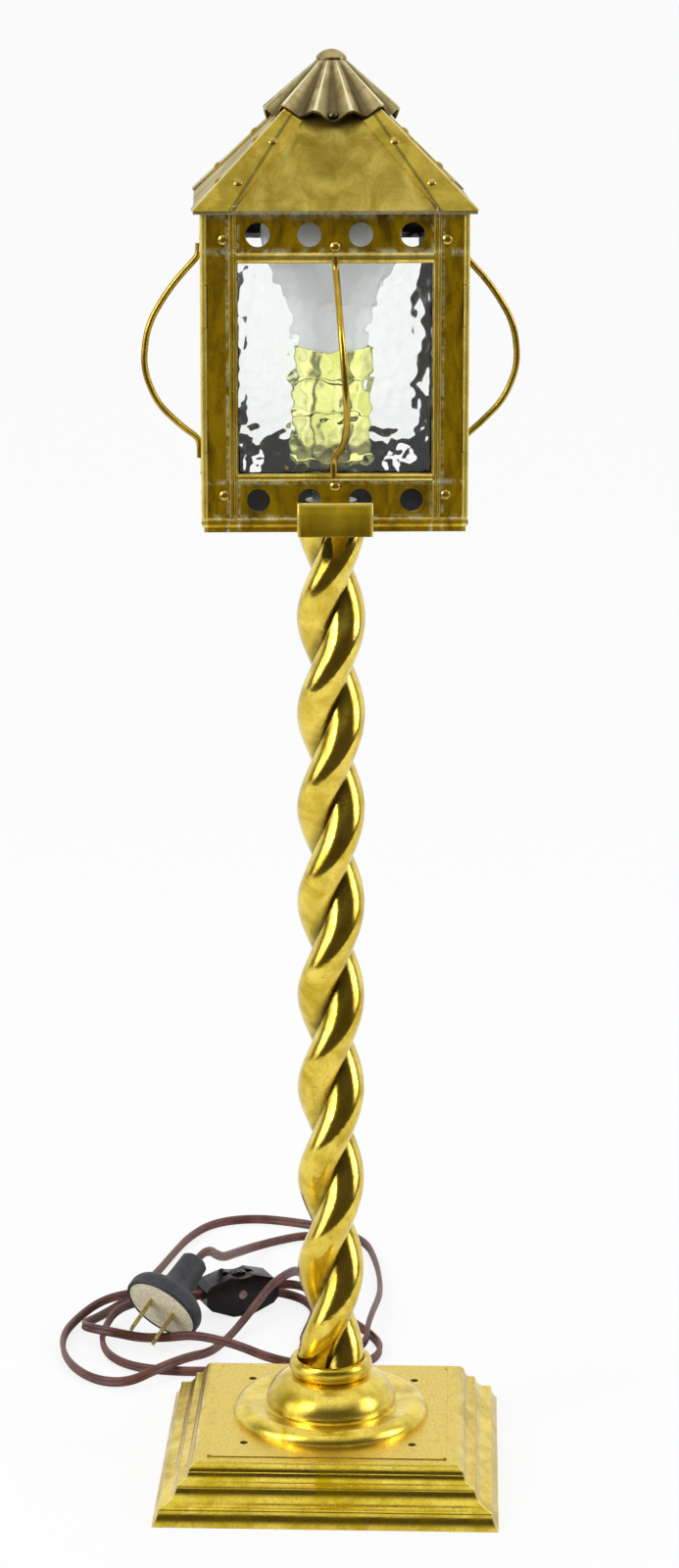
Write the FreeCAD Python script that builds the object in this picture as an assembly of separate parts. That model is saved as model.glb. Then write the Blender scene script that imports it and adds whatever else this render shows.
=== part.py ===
import FreeCAD, Part
import math
import os

Vector = FreeCAD.Vector

# Lantern table lamp, in millimetres. +Z is up, the front face looks along -Y,
# and the origin is the middle of the base's underside.

# ---- clearances ------------------------------------------------------------------
run_gap = 0.05        # a shaft, wire or screw in its own hole
part_gap = 0.3        # between a door and the fixed frame around it
lift = 0.05           # a wire or rivet that stands on a face it does not enter

# ---- base --------------------------------------------------------------------------
base_side = 152.0
base_wall = 1.2
foot_edge = 0.6
plinth_flare = 2.6     # how far the plinth leans in from the floor to its top
plinth_height = 6.8
cover_share = 0.65     # share of the plinth's lean found below the bottom cover's top
ledge_width = 1.8
ledge_height = 1.2
apron_width = 5.8
apron_height = 6.2
fillet_width = 1.2
fillet_height = 1.4
cove_width = 3.8
cove_height = 4.4
shoulder_width = 5.4
shoulder_height = 3.6
lip_set_back = 2.4
lip_width = 1.0
lip_height = 0.9
lip_drop = 0.4         # from the lip's top to the sunk top plate
lip_lean = 0.3
base_hole_radius = 1.8
base_hole_spacing = 75.0
weight_side = 99.0
weight_height = 12.0
cover_thickness = 1.0
felt_thickness = 1.0

# ---- threaded lamp pipe and its nuts ----------------------------------------------
rod_radius = 4.85
rod_bore = 3.5
rod_hole = 5.2
rod_stub = 1.0
rod_top_stub = 8.0
nut_flats = 14.0
nut_height = 3.5
washer_radius = 11.0
washer_height = 1.5

# ---- collar, neck ring and column ---------------------------------------------------
collar_radius = 44.2
collar_roll = 6.0
dome_radius = 29.5
dome_height = 18.9
dome_neck = 17.2
spun_wall = 1.2
ring_radius = 18.1
ring_height = 7.7
ring_seat = 3.2
strand_radius = 9.05
strand_offset = 5.8
twist_pitch = 85.14
column_height = 390.4
lobe_height = 93.0     # a height at which the two lobes stand left and right

# ---- saddle under the lantern ---------------------------------------------------------
saddle_width = 31.5
saddle_thickness = 1.6
clip_height = 14.1
clip_stand_off = 2.7
clip_lean = 1.5

# ---- lantern body -----------------------------------------------------------------------
lantern_side = 109.4
sheet = 1.0
under_plate_height = 2.0
under_plate_set_in = 0.3
tray_floor = 1.2
rim_height = 4.1
rim_proud = 0.8
rim_width = 2.6
body_height = 125.6    # from the rim's top to the eave
opening_width = 80.0
opening_border = 0.5   # sheet left between the opening and the first bead
band_bottom = 18.4
band_top = 20.2
vent_pitch = 21.2
vent_radius_top = 5.0
vent_radius_bottom = 4.8
vent_rise_bottom = 7.3
vent_drop_top = 8.6
bead_width = 1.65
bead_proud = 0.85
hem_height_top = 4.5
hem_height_bottom = 3.2
hem_proud = 1.2
glass_thickness = 2.4
glass_lap = 2.4
rivet_radius = 2.0
rivet_height = 1.0
corner_rivet_gap = 0.15  # between the outer bead and a corner rivet
corner_rivet_rise = 9.4
corner_rivet_drop = 10.6
hem_rivet_gap = 0.2     # between a hem and the rivet that backs it
stop_clearance = 2.3    # between a stop flange and the door glass
lantern_turn = 3.7      # the lantern is screwed down a little turned on its column

# ---- doors ---------------------------------------------------------------------------------
barrel_radius = 1.3
pin_radius = 0.65
barrel_set_in = 0.6
knuckle_length = 17.0
knuckle_low = 27.4     # from the rim's top to the lower knuckle
knuckle_drop = 46.2    # from the eave to the upper knuckle's foot
catch_width = 5.0
catch_height = 9.6
catch_rise = 9.0
catch_set_in = 1.6
catch_knob = 1.8

# ---- wire guards -----------------------------------------------------------------------------
guard_radius = 1.4
guard_bow_high = [  # sideways lean, distance out of the face, height from the opening's top
    (0.0, 0.0, 3.0), (0.2, 0.0, -2.0), (1.0, 12.0, -15.1)]
guard_bow_low = [   # and height from the opening's foot
    (2.2, 22.0, 55.6), (3.6, 24.0, 37.6), (4.4, 18.0, 22.6), (3.0, 8.0, 12.8), (-0.6, 0.0, 6.6),
    (-0.8, 0.0, -1.5)]

# ---- roof and vent ---------------------------------------------------------------------------
eave_half = 57.8
eave_ring_inner = 50.0
eave_ring_height = 1.4
roof_wall = 1.0
roof_top_half = 18.0
strap_thickness = 0.8
strap_foot_width = 14.8
strap_head_width = 11.1
strap_head_reach = 28.0  # the straps end on a circle round the cap's collar
roof_rivet_low = 10.3   # distance in from the eave, seen from above
roof_rivet_high = 26.0
roof_rivet_low_inset = 7.8
roof_rivet_high_inset = 6.6
cap_flutes = 12
cap_hem_radius = 28.5
cap_hem_height = 37.2   # hem's middle height above the eave ring
cap_flute_depth = 2.0
cap_drape = 1.3         # how far the hem rides up at the hips and hangs down between them
cap_ridge_reach = 0.9
cap_top_radius = 6.1
cap_top_height = 58.1
cap_wall = 1.0
button_radius = 6.4
button_height = 4.2
vent_collar_radius = 22.6
vent_collar_wall = 1.2
vent_collar_gap = 0.2     # from the collar to the roof below it and to the cap above it
cap_screw_radius = 1.9
cap_screw_reach = 25.5
cap_screw_lift = 0.9      # the head stands this far over the valley's bottom
cap_screw_shank = 0.9
cap_screw_length = 2.5

# ---- socket, lamp bulb and leads -------------------------------------------------------------
socket_radius = 17.0
socket_wall = 0.7
socket_cap_height = 17.0
socket_shell_height = 45.5
socket_cap_neck = 7.5
socket_neck_height = 5.5
socket_bead_low = 17.9
socket_bead_high = 32.5
liner_wall = 0.8
core_height = 14.0
screw_shell_radius = 13.8
screw_shell_height = 26.0
bulb_base_radius = 13.2
bulb_base_height = 24.0
bulb_neck_radius = 14.6
bulb_radius = 30.0
bulb_neck_straight = 14.5
bulb_height = 92.0
bulb_wall = 0.8
lead_radius = 1.1
lead_spacing = 2.4
lead_bend = 5.0

# ---- cord ------------------------------------------------------------------------------------
cord_diameter = 4.8
cord_bore = 2.6
bushing_height = 3.3
bushing_flange = 3.25
bushing_body = 3.0
bushing_thickness = 1.4
bushing_inside = 3.0
cord_inside = 68.0     # where the cord ends inside the base
tail_route = [
    (0.0, 68.0, 3.3), (0.0, 85.0, 3.3), (-9.5, 95.5, 2.4), (-29.5, 98.5, 2.4), (-52.0, 99.5, 2.4),
    (-77.0, 98.0, 2.4), (-98.5, 102.5, 2.4), (-112.0, 116.5, 2.4), (-117.5, 136.0, 2.4),
    (-117.0, 153.0, 3.4), (-112.5, 167.0, 7.2), (-100.0, 175.0, 9.0), (-84.5, 171.2, 11.2),
    (-65.0, 180.1, 11.2)]
lead_route = [
    (-43.2, 190.1, 11.2), (-30.9, 195.7, 11.2), (-18.5, 192.5, 10.5), (-9.0, 180.5, 7.9),
    (1.0, 168.0, 4.2), (13.5, 152.0, 2.4), (20.5, 134.0, 2.4), (17.5, 116.5, 2.4), (4.0, 107.5, 2.4),
    (-14.0, 106.5, 2.6), (-33.0, 109.5, 5.0), (-51.0, 117.0, 9.6), (-71.0, 128.0, 9.6),
    (-85.0, 137.0, 4.4), (-97.8, 138.3, 3.4), (-109.8, 133.6, 7.8), (-124.4, 140.2, 7.8),
    (-128.6, 155.0, 3.8), (-122.0, 167.5, 2.4), (-113.0, 184.0, 2.4), (-104.0, 207.0, 2.4),
    (-97.0, 233.0, 2.4), (-91.0, 260.0, 2.4), (-84.5, 286.0, 2.4), (-73.0, 307.5, 2.4),
    (-52.0, 315.5, 2.4), (-28.0, 309.0, 2.4), (-6.0, 298.5, 2.4), (9.0, 280.0, 2.4),
    (14.0, 256.0, 2.4), (17.0, 231.0, 2.4), (18.0, 207.0, 3.0), (16.8, 186.0, 5.6),
    (15.0, 166.0, 8.0), (13.0, 147.0, 8.0), (13.1, 133.9, 4.6), (3.9, 124.0, 2.4),
    (-9.9, 124.0, 2.4), (-19.4, 133.9, 2.4), (-18.2, 149.0, 2.4), (-15.6, 165.5, 2.4),
    (-14.6, 182.0, 2.4), (-20.8, 197.5, 2.4), (-34.5, 207.0, 2.4), (-52.0, 211.0, 2.4),
    (-72.0, 210.0, 2.4), (-90.0, 201.0, 3.4),
    (-106.0, 188.5, 8.0), (-121.0, 178.0, 7.6), (-131.5, 165.5, 3.2), (-137.0, 145.0, 2.4),
    (-135.0, 121.0, 2.4), (-127.0, 99.5, 2.4), (-114.0, 84.5, 2.4), (-99.0, 80.5, 3.6),
    (-86.0, 87.5, 8.0), (-72.5, 103.5, 7.8), (-63.5, 119.5, 3.4), (-56.5, 138.0, 2.6),
    (-50.5, 153.0, 4.8), (-43.5, 165.5, 10.5), (-35.5, 177.0, 17.8), (-26.2, 196.0, 17.8),
    (-22.5, 216.0, 9.5), (-16.0, 236.0, 3.4), (-5.0, 255.5, 2.4), (-0.5, 272.0, 2.4),
    (-8.0, 287.0, 2.4), (-23.5, 290.0, 2.4), (-38.5, 280.0, 2.6), (-49.0, 265.5, 4.6),
    (-54.8, 247.5, 8.8), (-58.6, 231.0, 13.2), (-62.0, 213.0, 18.2), (-64.6, 195.5, 26.0),
    (-66.5, 180.0, 34.0), (-70.7, 167.7, 36.4), (-77.0, 158.3, 29.4)]

# ---- in-line switch --------------------------------------------------------------------------
switch_centre = Vector(-53.2, 185.5, 11.2)
switch_heading = 24.6   # degrees of its length from +X
switch_length = 38.5
switch_thickness = 15.0
switch_crown = 9.9
switch_foot = 11.2
switch_flat = 5.0
switch_end_half = 6.6
switch_nose_half = 3.6
wheel_radius = 10.2
wheel_thickness = 4.0
wheel_knurls = 24
wheel_window = 8.0
rivet_pin_radius = 1.4
rivet_head_radius = 2.2

# ---- plug ------------------------------------------------------------------------------------
plug_centre = Vector(-88.3, 141.8, 17.1)
plug_axis = Vector(0.4794, 0.7036, 0.5245)     # from the face towards the neck
plug_blade_line = Vector(0.845, -0.215, -0.484)
plug_radius = 20.0
plug_rim = 4.5
plug_length = 32.6
plug_neck = 6.9
disc_radius = 18.3
disc_thickness = 1.0
blade_spacing = 12.7
blade_width = 6.3
blade_thickness = 1.5
blade_length = 17.5
blade_root = 5.0

# ---- levels and places that follow from the sizes above --------------------------------------
base_half = base_side / 2
cover_half = base_half - cover_share * plinth_flare - base_wall - run_gap
plate_top = (plinth_height + ledge_height + apron_height + fillet_height + cove_height
             + shoulder_height + lip_height - lip_drop)
plate_under = plate_top - base_wall
weight_under = plate_under - weight_height
rod_bottom = weight_under - washer_height - nut_height - rod_stub
dome_top = plate_top + dome_height
column_foot = dome_top + ring_seat
column_top = column_foot + column_height
saddle_top = column_top + saddle_thickness
tray_under = saddle_top + under_plate_height
tray_top = tray_under + tray_floor
rim_top = tray_under + rim_height
rod_top = tray_top + washer_height + nut_height + rod_top_stub
eave_under = rim_top + body_height
eave_top = eave_under + eave_ring_height
face = lantern_side / 2
opening_low = rim_top + band_bottom
opening_high = eave_under - band_top
bead_inner = opening_width / 2 + opening_border
corner_rivet_x = bead_inner + 2 * bead_width + corner_rivet_gap + rivet_radius
stop_flange = face - sheet - opening_width / 2 - glass_lap - stop_clearance
hinge_reach = face - barrel_set_in
socket_foot = tray_top + washer_height + nut_height + 0.3
socket_step = socket_foot + socket_neck_height
socket_rim = socket_foot + socket_cap_height + socket_shell_height
core_foot = socket_step + 4.0
screw_shell_foot = core_foot + core_height
bulb_foot = screw_shell_foot + 2.0
bulb_neck_foot = bulb_foot + bulb_base_height
plug_w = plug_axis.normalize()


# ---- helpers ---------------------------------------------------------------------------------
def block(x0, x1, y0, y1, z0, z1):
    return Part.makeBox(x1 - x0, y1 - y0, z1 - z0, Vector(x0, y0, z0))


def rod(radius, start, end):
    axis = end.sub(start)
    return Part.makeCylinder(radius, axis.Length, start, axis)


def outline(start, steps):
    """Closed wire in the XZ plane; a step is a corner, or (middle, end) of an arc."""
    edges = []
    here = start
    for step in steps + [start]:
        if isinstance(step[0], tuple):
            middle, end = step
            edges.append(Part.Arc(Vector(here[0], 0, here[1]), Vector(middle[0], 0, middle[1]),
                                  Vector(end[0], 0, end[1])).toShape())
        else:
            end = step
            if math.dist(here, end) > 1e-6:
                edges.append(Part.LineSegment(Vector(here[0], 0, here[1]),
                                              Vector(end[0], 0, end[1])).toShape())
        here = end
    return Part.Wire(edges)


def turned(start, steps):
    """Solid of revolution about Z from a closed (radius, height) outline."""
    return Part.Face(outline(start, steps)).revolve(Vector(0, 0, 0), Vector(0, 0, 1), 360)


def mirrored(point):
    return (-point[0], point[1])


def moulded_square(foot, steps):
    """Square solid whose four sides all have the profile foot -> steps, closed on top."""
    side = [foot] + steps
    left = []
    here = foot
    for step in steps:
        if isinstance(step[0], tuple):
            left.append((mirrored(step[0]), mirrored(here)))
            here = step[1]
        else:
            left.append(mirrored(here))
            here = step
    left.reverse()
    loop = side[1:] + [mirrored(here)] + left
    face_xz = Part.Face(outline(foot, loop))
    reach = 3 * foot[0]
    along_y = face_xz.extrude(Vector(0, reach, 0))
    along_y.translate(Vector(0, -reach / 2, 0))
    along_x = along_y.copy()
    along_x.rotate(Vector(0, 0, 0), Vector(0, 0, 1), 90)
    return along_y.common(along_x)


def turn_about_z(shape, degrees):
    copy = shape.copy()
    copy.rotate(Vector(0, 0, 0), Vector(0, 0, 1), degrees)
    return copy


def joined(shapes):
    whole = shapes[0]
    for shape in shapes[1:]:
        whole = whole.fuse(shape)
    return whole.removeSplitter()


def set_in_place(shape, origin, x_axis, z_axis):
    """Move a shape made at the origin to a local frame given by two of its axes."""
    y_axis = z_axis.cross(x_axis)
    frame = FreeCAD.Matrix(x_axis.x, y_axis.x, z_axis.x, origin.x,
                           x_axis.y, y_axis.y, z_axis.y, origin.y,
                           x_axis.z, y_axis.z, z_axis.z, origin.z)
    copy = shape.copy()
    copy.Placement = FreeCAD.Placement(frame).multiply(copy.Placement)
    return copy


def rounded_path(points, label=""):
    """Straight runs joined by tangent arcs as large as both runs allow."""
    corners = [Vector(*p) for p in points]
    edges = []
    here = corners[0]
    tightest = 1e9
    for before, corner, after in zip(corners, corners[1:], corners[2:]):
        back = before.sub(corner)
        ahead = after.sub(corner)
        run = min(back.Length, ahead.Length)
        back.normalize()
        ahead.normalize()
        half_turn = (math.pi - back.getAngle(ahead)) / 2
        radius = 0.45 * run / math.tan(half_turn)
        tightest = min(tightest, radius)
        start = corner.add(back * (0.45 * run))
        end = corner.add(ahead * (0.45 * run))
        inward = back.add(ahead)
        inward.normalize()
        middle = corner.add(inward * (radius / math.cos(half_turn) - radius))
        edges.append(Part.LineSegment(here, start).toShape())
        edges.append(Part.Arc(start, middle, end).toShape())
        here = end
    edges.append(Part.LineSegment(here, corners[-1]).toShape())
    path = Part.Wire(edges)
    if label:
        print(label, "length", round(path.Length, 1), "tightest radius", round(tightest, 1))
    return path


def tube(points, radius, label=""):
    """Round tube along the rounded path, with its volume set against its length."""
    path = rounded_path(points, label)
    start = Vector(*points[0])
    ahead = Vector(*points[1]).sub(start)
    section = Part.Wire([Part.Circle(start, ahead, radius).toShape()])
    solid = path.makePipeShell([section], True, False)
    if label:
        print(label, "volume over section x length",
              round(solid.Volume / (math.pi * radius ** 2 * path.Length), 4))
    return solid


def crown(radius, low, height):
    """Arc step of a round crown, centred on the axis, from its edge to its top."""
    sphere = (radius ** 2 + height ** 2) / (2 * height)
    half_angle = math.asin(radius / sphere) / 2
    centre = low + height - sphere
    return ((sphere * math.sin(half_angle), centre + sphere * math.cos(half_angle)), (0, low + height))


def dome_head(radius, height):
    """Low rivet head standing on z = 0."""
    edge = 0.25 * height
    return turned((0, 0), [(radius, 0), (radius, edge), crown(radius, edge, height - edge)])


def export(name, shapes):
    """Write one node, as one solid or as a group of separate solids."""
    group = shapes if isinstance(shapes, list) else [shapes]
    solids = []
    for shape in group:
        solids += shape.Solids
    for solid in solids:
        if not solid.isValid() or solid.Volume <= 0:
            print("CHECK", name, "valid", solid.isValid(), "volume", solid.Volume)
    whole = solids[0] if len(solids) == 1 else Part.makeCompound(solids)
    whole.exportStep(os.path.join("parts", name + ".step"))


def export_turned(name, shapes):
    """Write a node of the lantern, turned with it."""
    group = shapes if isinstance(shapes, list) else [shapes]
    export(name, [turn_about_z(shape, lantern_turn) for shape in group])


# ---- base ------------------------------------------------------------------------------------
def base_profile(shift):
    """Right side of the stepped moulding, moved in and down by shift."""
    forms = [  # how far in, how far up, and the share of each at which a curve's middle lies
        (0, foot_edge, None), (plinth_flare, plinth_height - foot_edge, (0.62, 0.39)),
        (ledge_width, ledge_height, (0.35, 0.70)), (apron_width, apron_height, (0.64, 0.36)),
        (fillet_width, fillet_height, (0.25, 0.70)), (cove_width, cove_height, (0.68, 0.36)),
        (shoulder_width, shoulder_height, (0.28, 0.68)), (lip_set_back, 0, None),
        (lip_lean, lip_height, None), (lip_width, 0, None), (lip_lean, -lip_drop, None)]
    x = base_half - shift
    z = -shift
    foot = (x, z)
    steps = []
    for inward, upward, middle in forms:
        end = (x - inward, z + upward)
        if middle:
            steps.append(((x - middle[0] * inward, z + middle[1] * upward), end))
        else:
            steps.append(end)
        x, z = end
    return foot, steps


def base_shell():
    shell = moulded_square(*base_profile(0)).cut(moulded_square(*base_profile(base_wall)))
    half = base_hole_spacing / 2
    drills = [rod(rod_hole, Vector(0, 0, 0), Vector(0, 0, plate_top + 1))]
    for x in (-half, half):
        for y in (-half, half):
            drills.append(rod(base_hole_radius, Vector(x, y, 10), Vector(x, y, plate_top + 1)))
    notch_half = bushing_body + run_gap
    drills.append(rod(notch_half, Vector(0, base_half - 6, bushing_height),
                      Vector(0, base_half + 1, bushing_height)))
    drills.append(block(-notch_half, notch_half, base_half - 6, base_half + 1, -1, bushing_height))
    for drill in drills:
        shell = shell.cut(drill)
    return shell


def base_weight():
    half = weight_side / 2
    slab = block(-half, half, -half, half, weight_under, plate_under)
    return slab.cut(rod(rod_hole, Vector(0, 0, 0), Vector(0, 0, plate_top)))


def cord_channel(half_width, height):
    return block(-half_width, half_width, cord_inside - 6, base_half, -1, height)


def bottom_cover():
    half = cover_half
    plate = block(-half, half, -half, half, felt_thickness, felt_thickness + cover_thickness)
    return plate.cut(cord_channel(5.0, bushing_height))


def base_felt():
    half = cover_half
    pad = block(-half, half, -half, half, 0, felt_thickness)
    return pad.cut(cord_channel(5.0, bushing_height))


def cord_bushing():
    outer = base_half + bushing_thickness
    flange = rod(bushing_flange, Vector(0, base_half, bushing_height), Vector(0, outer, bushing_height))
    body = rod(bushing_body, Vector(0, base_half - base_wall - bushing_inside, bushing_height),
               Vector(0, base_half, bushing_height))
    bore = rod(cord_bore, Vector(0, base_half - 10, bushing_height),
               Vector(0, outer + 1, bushing_height))
    return joined([flange, body]).cut(bore)


# ---- pipe, nuts, washers ---------------------------------------------------------------------
def hex_nut(z):
    corner = nut_flats / math.sqrt(3)
    points = [Vector(corner * math.cos(math.radians(a)), corner * math.sin(math.radians(a)), z)
              for a in range(0, 361, 60)]
    nut = Part.Face(Part.makePolygon(points)).extrude(Vector(0, 0, nut_height))
    return nut.cut(rod(rod_radius + run_gap, Vector(0, 0, z - 1), Vector(0, 0, z + nut_height + 1)))


def washer(z):
    disc = rod(washer_radius, Vector(0, 0, z), Vector(0, 0, z + washer_height))
    return disc.cut(rod(rod_hole, Vector(0, 0, z - 1), Vector(0, 0, z + washer_height + 1)))


def lamp_pipe():
    pipe = rod(rod_radius, Vector(0, 0, rod_bottom), Vector(0, 0, rod_top))
    return pipe.cut(rod(rod_bore, Vector(0, 0, rod_bottom - 1), Vector(0, 0, rod_top + 1)))


# ---- collar, ring, column --------------------------------------------------------------------
def collar():
    z = plate_top
    roll = collar_radius - collar_roll
    outer = [
        (collar_radius, z + 0.6),
        ((collar_radius - 0.27 * collar_roll, z + 4.6), (roll, z + 6.5)),
        (dome_radius + 2.0, z + 5.8),
        (dome_radius, z + 6.1),
        ((dome_radius - 2.6, z + 13.2), (dome_neck + 2.4, dome_top - 0.3)),
        (dome_neck, dome_top),
        (rod_hole, dome_top),
        (rod_hole, dome_top - spun_wall)]
    inner = [
        (dome_neck + 1.6, dome_top - spun_wall - 0.3),
        ((dome_radius - 3.8, z + 12.4), (dome_radius - spun_wall, z + 5.0)),
        (roll, z + 5.3),
        ((collar_radius - 0.27 * collar_roll - spun_wall, z + 3.6),
         (collar_radius - spun_wall, z + 0.6)),
        (collar_radius - spun_wall, z)]
    return turned((collar_radius, z), outer + inner)


def neck_ring():
    z = dome_top
    seat_radius = strand_radius + strand_offset + 0.3
    return turned((ring_radius - 1.6, z), [
        ((ring_radius + 0.1, z + 2.0), (ring_radius, z + ring_height - 0.8)),
        (ring_radius - 0.6, z + ring_height),
        (seat_radius + 0.3, z + ring_height),
        (seat_radius, z + ring_height - 1.0),
        (seat_radius, column_foot),
        (rod_hole, column_foot),
        (rod_hole, z)])


def twist_column():
    """Right-handed rope of two round strands, bored for the lamp pipe."""
    notch = math.sqrt(strand_radius ** 2 - strand_offset ** 2)
    reach = strand_offset + strand_radius
    right = Part.Arc(Vector(0, notch, 0), Vector(reach, 0, 0), Vector(0, -notch, 0)).toShape()
    left = Part.Arc(Vector(0, -notch, 0), Vector(-reach, 0, 0), Vector(0, notch, 0)).toShape()
    section = Part.Wire([right, left])
    start_angle = 360.0 * (column_foot - lobe_height) / twist_pitch
    section.rotate(Vector(0, 0, 0), Vector(0, 0, 1), start_angle)
    spine = Part.Wire([Part.LineSegment(Vector(0, 0, 0), Vector(0, 0, column_height)).toShape()])
    guide = Part.Wire(Part.makeHelix(twist_pitch, column_height, reach).Edges)
    sweep = Part.BRepOffsetAPI.MakePipeShell(spine)
    sweep.setAuxiliarySpine(guide, True, 0)
    sweep.add(section)
    sweep.build()
    sweep.makeSolid()
    column = sweep.shape().cut(rod(rod_hole, Vector(0, 0, -1), Vector(0, 0, column_height + 1)))
    column.translate(Vector(0, 0, column_foot))
    return column


# ---- saddle, under-plate, tray ---------------------------------------------------------------
def saddle_bracket():
    """Strap under the lantern whose ends turn up over the rim, front and back."""
    t = saddle_thickness
    inner = face + clip_stand_off
    low = column_top
    knee = low + 0.68 * clip_height
    high = low + clip_height
    side = [(inner + t, low), (inner + t, knee), (inner + t - clip_lean, high),
            (inner - clip_lean, high), (inner, knee), (inner, low + t)]
    other = [mirrored(p) for p in reversed(side)]
    strip = Part.Face(outline(side[0], side[1:] + other))
    strap = strip.extrude(Vector(0, saddle_width, 0))
    strap.translate(Vector(0, -saddle_width / 2, 0))
    strap = turn_about_z(strap, 90)
    return strap.cut(rod(rod_hole, Vector(0, 0, low - 1), Vector(0, 0, high)))


def under_plate():
    half = face - under_plate_set_in
    plate = block(-half, half, -half, half, saddle_top, tray_under)
    return plate.cut(rod(rod_hole, Vector(0, 0, saddle_top - 1), Vector(0, 0, tray_under + 1)))


def lantern_tray():
    """Floor of the lantern with a rolled rim that the panels stand on."""
    out = face + rim_proud
    tray = moulded_square((out - 0.9, tray_under), [
        ((out, tray_under + rim_height / 2), (out - 0.9, rim_top))])
    inner = out - rim_width
    tray = tray.cut(block(-inner, inner, -inner, inner, tray_top, rim_top + 1))
    return tray.cut(rod(rod_hole, Vector(0, 0, tray_under - 1), Vector(0, 0, tray_top + 1)))


# ---- one face of the lantern, made as the front and turned to its side -----------------------
SIDES = {"front": 0, "right_door": 90, "back": 180, "left_door": 270}


def windowed_sheet(left, right, low, high):
    """Flat sheet with the glass opening and the two rows of round vents."""
    half = opening_width / 2
    panel = block(left, right, -face, -face + sheet, low, high)
    panel = panel.cut(block(-half, half, -face - 1, -face + sheet + 1, opening_low, opening_high))
    rows = [(rim_top + vent_rise_bottom, vent_radius_bottom), (eave_under - vent_drop_top, vent_radius_top)]
    for z, radius in rows:
        for step in (-1.5, -0.5, 0.5, 1.5):
            x = step * vent_pitch
            panel = panel.cut(rod(radius, Vector(x, -face - 1, z), Vector(x, -face + sheet + 1, z)))
    return panel


def half_round(x0, x1, z0, z1, proud):
    """Half-round bead on the face, along its longer side."""
    if x1 - x0 < z1 - z0:
        middle = (x0 + x1) / 2
        arc = Part.Arc(Vector(x0, -face, z0), Vector(middle, -face - proud, z0), Vector(x1, -face, z0))
        flat = Part.LineSegment(Vector(x1, -face, z0), Vector(x0, -face, z0))
        return Part.Face(Part.Wire([arc.toShape(), flat.toShape()])).extrude(Vector(0, 0, z1 - z0))
    middle = (z0 + z1) / 2
    arc = Part.Arc(Vector(x0, -face, z0), Vector(x0, -face - proud, middle), Vector(x0, -face, z1))
    flat = Part.LineSegment(Vector(x0, -face, z1), Vector(x0, -face, z0))
    return Part.Face(Part.Wire([arc.toShape(), flat.toShape()])).extrude(Vector(x1 - x0, 0, 0))


def face_trim(low, high):
    """Two double beads down the posts and the rolled hems above and below the glass."""
    pieces = []
    for sign in (-1, 1):
        for lane in (0, 1):
            a = sign * (bead_inner + lane * bead_width)
            b = sign * (bead_inner + (lane + 1) * bead_width)
            pieces.append(half_round(min(a, b), max(a, b), low, high, bead_proud))
    pieces.append(half_round(-bead_inner, bead_inner, opening_high, opening_high + hem_height_top, hem_proud))
    pieces.append(half_round(-bead_inner, bead_inner, opening_low - hem_height_bottom, opening_low, hem_proud))
    return pieces


def face_glass():
    half = opening_width / 2 + glass_lap
    back = -face + sheet
    return block(-half, half, back, back + glass_thickness, opening_low - glass_lap,
                 opening_high + glass_lap)


def face_rivets():
    spots = []
    for x in (-corner_rivet_x, corner_rivet_x):
        spots.append((x, rim_top + corner_rivet_rise))
        spots.append((x, eave_under - corner_rivet_drop))
    spots.append((0, opening_low - hem_height_bottom - rivet_radius - hem_rivet_gap))
    spots.append((0, opening_high + hem_height_top + rivet_radius + hem_rivet_gap))
    heads = []
    for x, z in spots:
        head = dome_head(rivet_radius, rivet_height)
        heads.append(set_in_place(head, Vector(x, -face, z), Vector(1, 0, 0), Vector(0, -1, 0)))
    return heads


def face_guard():
    """Bent wire that bows out in front of the glass, its ends under the two hems."""
    stand = face + guard_radius + lift
    route = [(lean, -stand - out, opening_high + rise) for lean, out, rise in guard_bow_high]
    route += [(lean, -stand - out, opening_low + rise) for lean, out, rise in guard_bow_low]
    return tube(route, guard_radius)


# ---- fixed front and back --------------------------------------------------------------------
KNUCKLES = [rim_top + knuckle_low, eave_under - knuckle_drop]


def barrel(x, y, low, high):
    return rod(barrel_radius, Vector(x, y, low), Vector(x, y, high))


def pin_hole(x, y):
    return rod(pin_radius + run_gap, Vector(x, y, rim_top - 1), Vector(x, y, eave_under + 1))


def front_panel():
    """Front sheet whose side edges are rolled round the two hinge wires."""
    edge = hinge_reach
    panel = windowed_sheet(-edge, edge, rim_top, eave_under)
    for sign in (-1, 1):
        x = sign * edge
        panel = panel.fuse(barrel(x, -edge, rim_top, eave_under))
        for low in KNUCKLES:
            window = block(edge - barrel_radius - part_gap, edge + 3, -face - 3, -face + 3,
                           low - part_gap, low + knuckle_length + part_gap)
            if sign < 0:
                window = turn_about_z(window, 180)
                window.translate(Vector(0, -2 * face, 0))
            panel = panel.cut(window)
        panel = panel.cut(pin_hole(x, -edge))
    return panel.removeSplitter()


def back_panel():
    """Back sheet with a flange inside each door that the door shuts against."""
    panel = windowed_sheet(-face, face, rim_top, eave_under)
    inner = face - sheet - part_gap
    for sign in (-1, 1):
        xs = sorted((sign * inner, sign * (inner - sheet)))
        panel = panel.fuse(block(xs[0], xs[1], -face + sheet, -face + sheet + stop_flange,
                                 rim_top, eave_under))
    return turn_about_z(panel.removeSplitter(), SIDES["back"])


def hinge_pins():
    return [rod(pin_radius, Vector(sign * hinge_reach, -hinge_reach, rim_top + 0.2),
                Vector(sign * hinge_reach, -hinge_reach, eave_under - 0.2)) for sign in (-1, 1)]


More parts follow.
